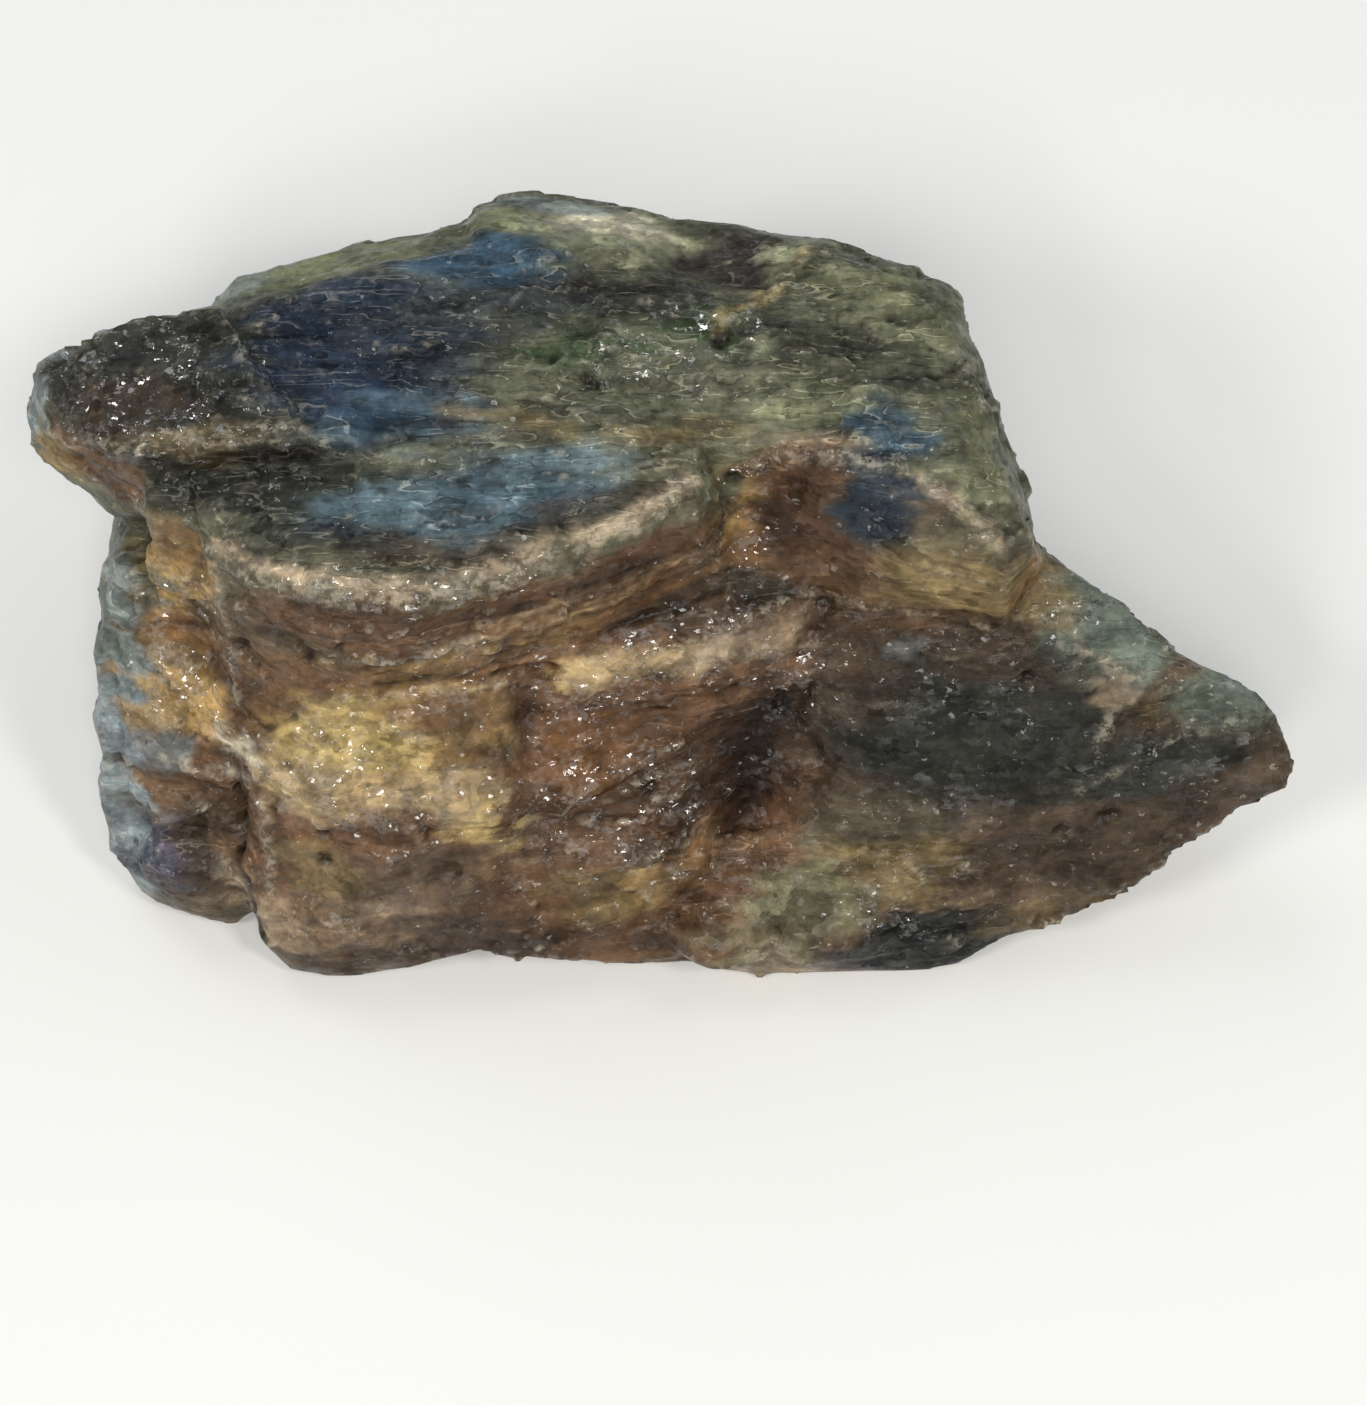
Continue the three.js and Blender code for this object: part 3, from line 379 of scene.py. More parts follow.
# Cut lines, each with its reach and depth: splits between sheets, crevices and shadowed steps.
CREVICES = [
    ([(-15.4, -0.9, 14.0), (-13.4, -0.8, 14.4), (-10.2, -0.7, 14.7)], 0.35, 0.26),
    ([(-10.2, -0.7, 14.7), (-7.7, -0.4, 14.8), (-4.0, -0.6, 14.6)], 0.18, 0.10),
    ([(-9.0, -5.9, 11.2), (-6.1, -5.5, 11.3), (-3.2, -4.7, 11.5), (-0.6, -3.7, 11.6)], 0.22, 0.20),
    ([(-9.4, -6.1, 10.4), (-6.3, -5.8, 10.4), (-4.6, -5.4, 10.1)], 0.22, 0.14),
    ([(-5.3, -5.1, 12.6), (-3.0, -4.3, 12.9), (1.0, -2.6, 12.8)], 0.16, 0.12),
    ([(-1.9, -4.3, 10.4), (0.4, -3.5, 10.7), (1.4, -3.1, 10.8)], 0.25, 0.12),
    ([(-15.0, -3.0, 9.0), (-13.8, -3.3, 9.2), (-13.1, -3.9, 9.8)], 0.25, 0.10),
    ([(-15.6, -6.4, 5.0), (-14.0, -6.9, 5.3), (-12.9, -7.0, 6.0)], 0.25, 0.22),
    ([(-12.8, -6.9, 6.1), (-12.9, -7.3, 3.7), (-12.7, -8.9, 2.8), (-12.5, -10.4, 1.0)], 0.4, 0.20),
    ([(0.6, -6.2, 6.3), (1.6, -5.7, 6.5), (2.5, -5.2, 6.8), (3.6, -4.7, 7.4)], 0.25, 0.08),
    ([(1.6, -8.4, 2.9), (1.1, -9.6, 2.2), (0.8, -10.7, 1.4)], 0.4, 0.12),
    ([(3.9, -3.0, 10.2), (6.9, -3.5, 9.9), (10.1, -3.8, 9.7)], 0.22, 0.18),
    ([(11.3, -7.9, 4.3), (12.8, -7.5, 4.8), (14.6, -7.1, 5.0), (15.4, -6.9, 5.6)], 0.2, 0.16),
    ([(5.3, -9.7, 2.6), (8.2, -9.7, 2.6), (9.6, -9.3, 2.4)], 0.25, 0.20),
    ([(-5.0, -6.0, 8.8), (-4.9, -7.4, 6.6), (-4.2, -8.6, 5.0)], 0.25, 0.18),
    ([(-12.6, -5.7, 8.4), (-11.8, -6.2, 8.4), (-10.6, -6.2, 8.9)], 0.25, 0.18),
    ([(1.8, 6.2, 14.0), (0.2, 5.0, 14.5), (-3.0, 5.3, 14.6)], 0.25, 0.14),
    ([(6.2, 1.9, 14.4), (7.7, 2.1, 14.4), (8.9, 2.6, 14.0)], 0.2, 0.14),
    ([(-14.6, 5.2, 13.8), (-8.4, 5.6, 14.2), (-6.0, 6.2, 14.0)], 0.2, 0.12),
]

# Small pits, which the material also darkens with painted shade: centre and radius.
PITS = [
    ((-10.4, -5.6, 11.0), 0.32),
    ((-10.3, -8.6, 5.7), 0.26),
    ((-10.2, -9.0, 4.9), 0.28),
    ((1.4, -4.9, 9.0), 0.22),
    ((2.0, -5.0, 8.3), 0.22),
    ((7.5, -4.5, 9.4), 0.26),
    ((10.7, -5.0, 8.9), 0.30),
    ((-11.1, -6.2, 9.0), 0.25),
    ((-2.2, 1.9, 14.6), 0.45),
    ((1.6, 3.4, 14.5), 0.40),
    ((7.7, 2.1, 14.5), 0.30),
    ((2.0, -0.8, 13.4), 0.30),
]


# ---- relief ----

def add_chips(stone, points, rough, upright):
    """Broad swells, and flat chips in two sizes on them."""
    height = SWELL_HEIGHT * layered_swell(points / (3.0, 3.0, 2.0), 11)
    big = chips(wavering(points, 1.2, 0.5, 15) / (2.2, 1.6, 1.2) + 5.3, 21)
    small = chips(wavering(points, 0.7, 0.25, 18) / (0.9, 0.75, 0.55) + 2.7, 31)
    height += rough * (CHIP_HEIGHT + EXTRA_ON_WALLS * upright) * big + rough * SMALL_CHIP_HEIGHT * small
    stone.raise_by(height)


def split_walls(stone, points, amount):
    """Ledges on upright faces, along the sheets that the stone is made of."""
    lift = points[:, 2] + 0.30 * layered_swell(points / (5.0, 5.0, 2.5), 41) - 0.04 * points[:, 0]
    for thickness, height, seed in WALL_SHEETS:
        count = np.floor(lift / thickness)
        within = lift / thickness - count
        layer = np.stack([count, np.floor(points[:, 0] / 5.0), np.zeros(len(points))], axis=1)
        ledge = (1 - within) * (0.2 + 0.8 * scatter(layer, seed))
        stone.raise_by(amount * height * ledge, 2)


def end_sheets(stone, points, facing_up, smoothness):
    """Wavy steps on flat faces, where thin sheets end, and fine streaks along the stone."""
    lean = points @ LEAN
    terrace = 5.0 * layered_swell(lean / (8.0, 2.4, 3.0), 61) + 0.9 * swell(lean / (1.1, 0.6, 1), 64)
    count = np.floor(terrace)
    steps = count + smooth_step(terrace - count, 0.0, 0.18)
    stone.raise_by(facing_up * TERRACE_HEIGHT * (steps - terrace), 2)
    sheets = lean[:, 1] / 0.55 + 1.3 * layered_swell(lean / (5.0, 1.8, 3.0), 66)
    shown = smooth_step(swell(lean / (3.4, 1.3, 2.0), 69), -0.1, 0.35)
    saw = sheets - np.floor(sheets)
    stone.raise_by(facing_up * shown * SHEET_HEIGHT * saw * smooth_step(1 - saw, 0, 0.2), 2)
    streak = swell(lean / (2.8, 0.30, 0.8), 71) + 0.6 * swell(lean / (1.5, 0.17, 0.5), 72)
    stone.raise_by(facing_up * STREAK_HEIGHT * streak * (1 - 0.5 * smoothness), 1)


def add_fibres(stone, points):
    """Long fine fibres, each patch with its own way."""
    for way, *where in FIBROUS_BREAKS:
        fibre = layered_swell(stretched(points, way, 8) / 0.55, 77, 2)
        stone.raise_by(FIBRE_HEIGHT * fibre * patch(points, *where), 1)


def crumble(stone, points):
    """Small crumbs where the stone has crumbled."""
    crumbs = chips(wavering(points, 0.5, 0.2, 81) / 0.55, 84)
    stone.raise_by(CRUMB_HEIGHT * best_of(points, CRUMBLY_BREAKS) * crumbs, 1)


def draw_marks(stone, points):
    """The ridges, cut lines and pits, and how strongly each point belongs to a ridge or to a cut."""
    crooked = wavering(points, 0.8, 0.22, 91)
    pits = [([at, at], 1.4 * size, 1.1 * size) for at, size in PITS]
    raised, on_ridge = lines_on(crooked, RIDGES)
    sunk, in_crevice = lines_on(crooked, CREVICES)
    pitted, in_pit = lines_on(crooked, pits)
    broken = 0.8 + 0.7 * swell(points / 0.5, 94)
    stone.raise_by(raised * broken - sunk - pitted, 6)
    return on_ridge * np.clip(broken, 0, 1), np.maximum(in_crevice, in_pit)


def add_relief(stone):
    """Breaks the smooth stone's surface up, and says where it has ridges and where cuts."""
    stone.even_out(best_of(stone.points, ROUNDED_MOUTHS), MOUTH_PASSES)
    worn = best_of(stone.points, WORN_HOLLOWS)
    stone.even_out(worn, HOLLOW_PASSES)

    points = stone.points.copy()
    facing = stone.normals(12)
    facing_up = np.clip(facing[:, 2], 0, 1) ** 2
    upright = 1 - np.abs(facing[:, 2])
    smoothness = best_of(points, SMOOTH_BREAKS)
    rough = 1 - 0.8 * np.maximum(smoothness, worn)

    add_chips(stone, points, rough, upright)
    split_walls(stone, points, rough * upright)
    end_sheets(stone, points, facing_up, smoothness)
    add_fibres(stone, points)
    crumble(stone, points)
    marks = draw_marks(stone, points)

    # single points that stand far out are knocked off, and the outline of the foot runs evenly
    for _ in range(2):
        stone.even_out(smooth_step(np.abs(stone.standing_out(2)), 0.06, 0.14), 2)
    stone.even_out(1 - smooth_step(stone.points[:, 2], *FOOT), FOOT_PASSES, (1, 1, 0))
    return marks


# ---- colour zones ----

def from_screen(red, green, blue):
    """A colour picked as it looks on a screen, 0 to 255, as the light values that shaders use."""
    part = np.array([red, green, blue]) / 255
    return np.where(part > 0.04045, ((part + 0.055) / 1.055) ** 2.4, part / 12.92)


OLIVE_GREY = from_screen(78, 79, 65)
PALE_OLIVE = from_screen(140, 142, 116)
GREEN_YELLOW = from_screen(102, 104, 80)
GREEN = from_screen(48, 62, 42)
CHARCOAL = from_screen(38, 38, 34)
UMBER = from_screen(56, 45, 36)
NAVY = from_screen(30, 41, 57)
DEEP_BLUE = from_screen(46, 70, 90)
STEEL_BLUE = from_screen(73, 91, 103)
BLUE_GREY = from_screen(110, 119, 124)
PURPLE_NAVY = from_screen(56, 56, 74)
PLUM_BROWN = from_screen(46, 42, 40)
BROWN = from_screen(86, 63, 46)
DARK_BROWN = from_screen(61, 44, 33)
RUST = from_screen(98, 68, 43)
AMBER = from_screen(115, 90, 58)
OCHRE = from_screen(106, 91, 63)
YELLOW = from_screen(170, 148, 98)
GOLD = from_screen(135, 110, 70)
CREAM = from_screen(160, 139, 106)
CHALK = from_screen(186, 178, 158)
ROSE_GREY = from_screen(144, 127, 107)
PALE_ROSE = from_screen(162, 144, 122)
GREY = from_screen(78, 65, 54)
TEAL = from_screen(86, 94, 86)
BLACK = from_screen(27, 27, 24)
# near-black brown painted in the valley as its shade
VALLEY_SHADE = from_screen(20, 12, 8)

# Each zone: colour, centre, radii, turn, strength. Later zones lie over earlier ones.
ZONES = [
    # the whole top, and the depths under it
    (OLIVE_GREY, (-2.0, 2.0, 14.8), (18.0, 9.5, 2.0), 0, 1.0),
    (BROWN, (0.0, -9.0, 7.0), (22.0, 9.0, 7.5), 0, 1.0),

    # left block
    (CHARCOAL, (-15.0, 1.6, 14.8), (4.2, 3.0, 1.6), 0, 1.0),
    (UMBER, (-16.0, 0.8, 14.4), (2.2, 1.0, 1.2), 20, 0.8),
    (BLUE_GREY, (-18.7, 2.4, 13.2), (0.8, 1.6, 1.8), 0, 0.8),
    (BROWN, (-16.2, -0.3, 12.8), (1.8, 1.2, 1.4), 0, 0.9),
    (GOLD, (-17.4, 0.9, 12.0), (1.2, 1.2, 1.2), 0, 0.6),
    (OCHRE, (-14.4, -0.4, 14.8), (1.6, 0.5, 0.8), 0, 0.5),

    # blues of the top
    (NAVY, (-8.8, 2.2, 14.8), (3.2, 2.6, 1.4), 0, 1.0),
    (NAVY, (-10.0, 4.0, 14.6), (2.6, 1.5, 1.2), 15, 0.9),
    (DEEP_BLUE, (-8.6, -0.1, 14.9), (3.0, 0.7, 1.0), 5, 0.6),
    (CHARCOAL, (-6.0, 3.3, 14.8), (3.0, 1.2, 1.2), 0, 0.45),
    (DEEP_BLUE, (-5.2, 6.0, 14.4), (2.4, 1.1, 1.2), 8, 0.9),
    (NAVY, (-4.4, 4.6, 14.7), (2.8, 1.0, 1.0), 0, 0.6),
    (STEEL_BLUE, (-6.0, -2.2, 14.4), (3.8, 1.3, 1.0), 8, 0.9),
    (STEEL_BLUE, (-3.0, -1.4, 14.5), (2.2, 0.9, 1.0), 8, 0.6),
    (STEEL_BLUE, (-7.0, 0.9, 14.8), (1.6, 0.5, 0.8), 0, 0.4),

    # front shelf
    (BLACK, (-12.2, -1.4, 14.3), (3.2, 0.9, 1.0), 0, 1.0),
    (CHARCOAL, (-10.0, -2.9, 14.2), (2.8, 0.9, 0.9), -8, 0.7),
    (UMBER, (-6.2, -3.9, 14.3), (3.0, 0.6, 0.8), 0, 0.7),
    (GREY, (-2.2, -2.4, 14.4), (2.6, 0.6, 0.8), 20, 0.5),

    # middle of the top
    (GREEN, (-2.4, 2.8, 14.7), (2.0, 0.6, 0.8), 0, 0.9),
    (GREEN, (1.0, 3.7, 14.5), (1.6, 0.6, 0.8), 0, 0.9),
    (OCHRE, (0.6, 0.2, 14.5), (1.6, 0.5, 0.6), 0, 0.5),
    (PLUM_BROWN, (2.2, 6.4, 13.8), (2.6, 1.3, 1.6), -8, 0.95),
    (CHARCOAL, (-1.0, 5.0, 14.6), (3.0, 0.9, 0.8), 0, 0.85),

    # back edge of the top
    (GREEN_YELLOW, (-10.6, 6.5, 13.5), (3.6, 1.2, 1.4), 10, 0.95),
    (BLUE_GREY, (-12.8, 6.0, 13.2), (1.0, 1.0, 1.2), 0, 0.5),
    (PALE_OLIVE, (-2.2, 7.6, 13.8), (2.7, 1.4, 1.4), -10, 1.0),
    (CHALK, (-1.6, 7.9, 13.8), (1.6, 0.9, 0.8), -10, 0.7),
    (BLUE_GREY, (-3.3, 8.7, 13.3), (1.6, 0.5, 0.8), -5, 0.7),
    (GREEN_YELLOW, (-5.2, 7.9, 13.8), (1.2, 0.8, 1.0), 0, 0.7),

    # right block
    (PALE_OLIVE, (3.6, 6.3, 13.9), (0.9, 1.2, 1.0), -30, 0.7),
    (GREEN_YELLOW, (5.6, 5.4, 14.0), (2.6, 0.7, 1.0), -12, 0.8),
    (GREEN_YELLOW, (7.0, 3.9, 14.0), (2.8, 0.7, 1.0), 0, 0.5),
    (CHARCOAL, (4.8, 3.5, 14.1), (2.2, 0.7, 0.8), 0, 0.6),
    (PALE_OLIVE, (3.4, 1.6, 14.5), (1.4, 0.8, 0.8), 10, 0.45),
    (GREEN_YELLOW, (4.8, 1.1, 14.5), (2.4, 0.9, 0.8), 10, 0.6),
    (CHARCOAL, (7.0, 1.9, 14.4), (2.4, 0.5, 0.8), -8, 0.5),
    (DEEP_BLUE, (6.3, 0.0, 14.6), (1.0, 1.2, 0.9), 0, 0.75),
    (ROSE_GREY, (4.0, -0.4, 14.4), (1.8, 0.3, 0.5), -5, 0.8),
    (BROWN, (3.8, -1.0, 13.8), (1.9, 0.6, 1.2), -5, 1.0),
    (DARK_BROWN, (3.9, -1.8, 12.4), (2.4, 1.4, 1.5), 0, 1.0),
    (GREY, (7.6, -1.9, 13.6), (1.0, 0.9, 0.9), 0, 0.7),
    (CHARCOAL, (6.2, -1.7, 13.4), (1.1, 1.3, 2.0), 0, 1.0),
    (NAVY, (6.2, -1.7, 13.4), (1.1, 1.3, 2.0), 0, 0.65),
    (OCHRE, (8.4, -3.3, 11.6), (3.2, 1.2, 1.2), 0, 1.0),
    (BROWN, (5.4, -2.6, 11.2), (1.8, 1.0, 1.0), 0, 0.7),
    (AMBER, (10.7, -2.9, 11.0), (1.0, 1.3, 1.4), 0, 0.9),
    (GREEN_YELLOW, (9.2, -0.4, 14.0), (0.9, 1.8, 1.0), 0, 0.6),

    # gully
    (AMBER, (1.9, -1.4, 12.6), (0.9, 1.2, 1.9), 0, 0.85),
    (GOLD, (1.8, -1.6, 12.8), (0.6, 0.9, 1.2), 0, 0.7),
    (GREEN_YELLOW, (1.0, -0.5, 13.8), (1.0, 0.5, 0.6), 0, 0.7),
    (RUST, (2.2, -2.2, 11.4), (0.8, 0.7, 0.7), 0, 0.5),

    # front wall of the top slab
    (BROWN, (-9.4, -5.6, 12.7), (3.0, 1.2, 1.3), 0, 1.0),
    (BROWN, (-4.8, -5.3, 12.8), (3.2, 1.2, 1.3), 0, 1.0),
    (BROWN, (-0.8, -3.6, 12.9), (2.8, 1.2, 1.2), 0, 1.0),
    (UMBER, (-10.6, -5.2, 12.6), (1.5, 1.0, 1.1), 0, 0.9),
    (DARK_BROWN, (-1.0, -3.4, 12.9), (2.4, 1.2, 1.1), 0, 0.9),
    (DARK_BROWN, (-5.0, -5.1, 12.9), (2.6, 0.8, 0.7), 0, 0.6),
    (AMBER, (-3.2, -4.6, 11.0), (1.8, 1.0, 0.8), 0, 0.5),
    (RUST, (-0.8, -3.4, 11.4), (2.0, 1.0, 0.6), 0, 0.6),
    (AMBER, (-7.6, -5.6, 10.9), (2.6, 1.0, 0.6), 0, 0.5),
    (GREY, (-12.4, -4.4, 11.6), (0.6, 1.0, 1.6), 0, 0.6),

    # tongue
    (UMBER, (1.4, -3.2, 10.7), (2.6, 0.9, 0.6), 10, 0.8),
    (CHARCOAL, (2.2, -2.9, 10.9), (1.0, 0.5, 0.5), 10, 0.7),
    (BROWN, (-0.6, -5.2, 8.0), (1.8, 0.9, 0.8), 0, 0.6),
    (DARK_BROWN, (2.6, -4.8, 6.6), (1.5, 1.2, 1.2), 0, 0.9),

    # brown middle of the front
    (RUST, (-2.4, -6.6, 7.0), (1.4, 1.0, 1.5), 0, 0.8),
    (DARK_BROWN, (-5.0, -6.4, 8.0), (0.9, 1.0, 1.4), 0, 0.7),
    (DARK_BROWN, (0.2, -7.0, 5.8), (1.8, 1.5, 1.5), 0, 0.7),
    (DARK_BROWN, (-4.2, -8.0, 5.4), (0.9, 1.0, 1.6), 0, 0.5),
    (GREY, (-0.8, -8.9, 4.2), (1.4, 1.2, 1.1), 0, 0.6),
    (OCHRE, (-2.0, -9.4, 3.4), (1.6, 1.0, 0.9), 0, 0.6),
    (GOLD, (-0.8, -9.4, 3.4), (1.2, 1.0, 0.7), 0, 0.5),
    (DARK_BROWN, (-3.0, -10.2, 2.0), (2.8, 1.0, 0.9), 0, 0.7),
    (AMBER, (1.2, -8.2, 3.6), (0.8, 1.0, 1.6), 0, 0.5),
    (DARK_BROWN, (2.9, -6.0, 5.8), (1.1, 1.5, 2.2), 0, 1.0),

    # yellow and cream front left, grey below
    (GOLD, (-8.5, -6.6, 8.4), (3.4, 1.6, 1.6), 0, 0.8),
    (YELLOW, (-8.9, -6.5, 8.5), (2.3, 1.4, 1.3), 0, 1.0),
    (CREAM, (-10.6, -7.6, 7.3), (1.8, 1.3, 1.1), 0, 0.9),
    (CHALK, (-12.5, -6.4, 7.2), (0.6, 0.7, 0.7), 0, 0.7),
    (CREAM, (-6.6, -7.8, 6.9), (2.0, 1.3, 0.9), 0, 0.8),
    (YELLOW, (-5.4, -8.4, 5.6), (0.8, 1.0, 1.5), 0, 0.6),
    (BROWN, (-6.4, -6.4, 9.4), (1.6, 0.8, 0.5), 12, 0.7),
    (GREY, (-8.0, -9.4, 4.4), (3.2, 1.6, 1.3), 0, 0.9),
    (ROSE_GREY, (-8.7, -10.4, 3.0), (2.0, 1.0, 1.0), 0, 0.35),
    (PLUM_BROWN, (-6.2, -10.6, 2.2), (2.4, 1.2, 1.2), 0, 0.7),
    (UMBER, (-9.6, -11.0, 1.0), (3.0, 1.0, 1.0), 0, 0.7),
    (OCHRE, (-10.6, -9.0, 4.4), (1.2, 1.4, 1.2), 0, 0.7),
    (ROSE_GREY, (-11.8, -10.0, 2.4), (0.9, 1.0, 1.2), 0, 0.6),

    # recess at the left
    (GOLD, (-14.1, -2.8, 11.6), (1.2, 1.2, 2.4), 0, 0.9),
    (BROWN, (-14.4, -2.0, 12.8), (1.2, 1.2, 0.9), 0, 0.6),
    (GOLD, (-14.1, -5.0, 7.4), (1.5, 1.3, 1.5), 0, 1.0),
    (AMBER, (-14.0, -3.5, 9.1), (1.6, 1.0, 0.8), 0, 0.9),
    (RUST, (-14.0, -3.6, 9.1), (1.2, 0.8, 0.3), 0, 0.7),
    (BLUE_GREY, (-15.2, -5.9, 5.8), (1.1, 0.8, 0.7), 0, 0.6),
    (CREAM, (-15.6, -4.4, 7.2), (0.8, 1.2, 1.6), 0, 0.7),
    (OCHRE, (-15.9, -1.4, 10.4), (0.8, 1.0, 1.2), 0, 0.6),

    # left side
    (BLUE_GREY, (-17.0, -3.6, 5.0), (1.1, 5.0, 5.2), 0, 1.0),
    (BLUE_GREY, (-16.5, -6.8, 2.0), (1.2, 1.8, 1.8), 0, 0.9),
    (TEAL, (-17.0, -3.0, 8.0), (0.8, 1.4, 1.4), 0, 0.8),
    (PURPLE_NAVY, (-15.4, -8.0, 2.6), (1.1, 1.3, 1.5), 0, 0.8),
    (UMBER, (-14.0, -7.8, 3.2), (1.1, 1.6, 2.0), 0, 0.9),
    (ROSE_GREY, (-13.0, -8.9, 2.2), (0.7, 0.9, 1.2), 0, 0.7),
    (GREY, (-14.2, -9.0, 1.4), (1.4, 1.0, 0.9), 0, 0.6),

    # dark front right
    (GREY, (12.0, -7.8, 4.0), (8.5, 3.4, 3.4), 15, 0.8),
    (CHARCOAL, (8.8, -5.8, 7.6), (5.4, 2.8, 2.8), 0, 1.0),
    (BLACK, (10.6, -6.6, 6.6), (1.8, 1.4, 1.3), 0, 0.7),
    (UMBER, (5.4, -4.6, 8.6), (2.0, 1.6, 1.8), 0, 0.8),
    (BLUE_GREY, (7.0, -4.3, 9.6), (0.7, 0.5, 0.5), 0, 0.3),
    (UMBER, (9.8, -4.6, 9.1), (2.4, 0.7, 0.6), -10, 0.7),
    (OLIVE_GREY, (6.2, -8.0, 4.9), (2.2, 1.4, 1.2), 0, 0.6),
    (OCHRE, (7.4, -8.9, 3.8), (2.2, 1.2, 1.0), 0, 0.9),
    (UMBER, (5.8, -7.6, 5.2), (1.8, 1.0, 1.0), 0, 0.6),
    (GREEN_YELLOW, (4.4, -9.4, 3.0), (1.8, 1.2, 1.0), 0, 0.6),
    (GREY, (3.6, -10.6, 1.2), (2.8, 1.2, 1.2), 0, 0.8),
    (ROSE_GREY, (3.4, -10.2, 1.8), (0.9, 0.8, 0.7), 0, 0.6),
    (PALE_OLIVE, (2.8, -10.3, 1.7), (2.4, 1.2, 1.2), 0, 0.3),
    (ROSE_GREY, (3.2, -10.5, 1.0), (1.6, 1.0, 0.9), 0, 0.6),
    (NAVY, (8.0, -10.3, 1.5), (3.0, 1.4, 1.1), 0, 1.0),
    (PLUM_BROWN, (8.0, -10.3, 1.5), (3.0, 1.4, 1.1), 0, 0.5),
    (BLACK, (7.8, -10.2, 1.6), (2.6, 1.4, 1.1), 0, 0.8),
    (BLACK, (6.2, -10.4, 2.2), (1.4, 0.8, 0.6), 0, 0.8),

    # wedge and tip
    (TEAL, (12.8, -3.6, 9.4), (2.4, 1.6, 1.2), -35, 1.0),
    (OCHRE, (11.2, -3.2, 9.9), (1.2, 0.6, 0.8), 0, 0.7),
    (UMBER, (11.2, -4.5, 9.2), (1.4, 0.5, 0.6), -10, 0.5),
    (ROSE_GREY, (13.0, -5.2, 8.5), (0.8, 0.7, 0.7), 0, 0.7),
    (OCHRE, (14.7, -5.2, 7.6), (0.9, 0.7, 0.6), 0, 0.6),
    (TEAL, (16.8, -4.9, 7.6), (2.0, 1.2, 1.1), 0, 0.9),
    (BLUE_GREY, (17.0, -4.5, 7.6), (0.6, 0.5, 0.5), 0, 0.5),
    (CHARCOAL, (14.6, -6.6, 6.2), (3.8, 1.2, 1.2), 10, 1.0),
    (UMBER, (12.4, -8.4, 4.2), (3.4, 1.2, 1.2), 10, 1.0),
    (UMBER, (14.6, -8.3, 3.5), (2.6, 1.2, 1.0), 25, 1.0),
    (UMBER, (16.6, -6.9, 5.4), (1.6, 1.0, 0.9), 10, 0.5),
    (GREY, (17.9, -6.6, 5.2), (1.6, 1.0, 1.1), 0, 0.7),
    (OCHRE, (12.0, -9.6, 1.9), (3.6, 1.0, 0.9), 20, 0.35),
]

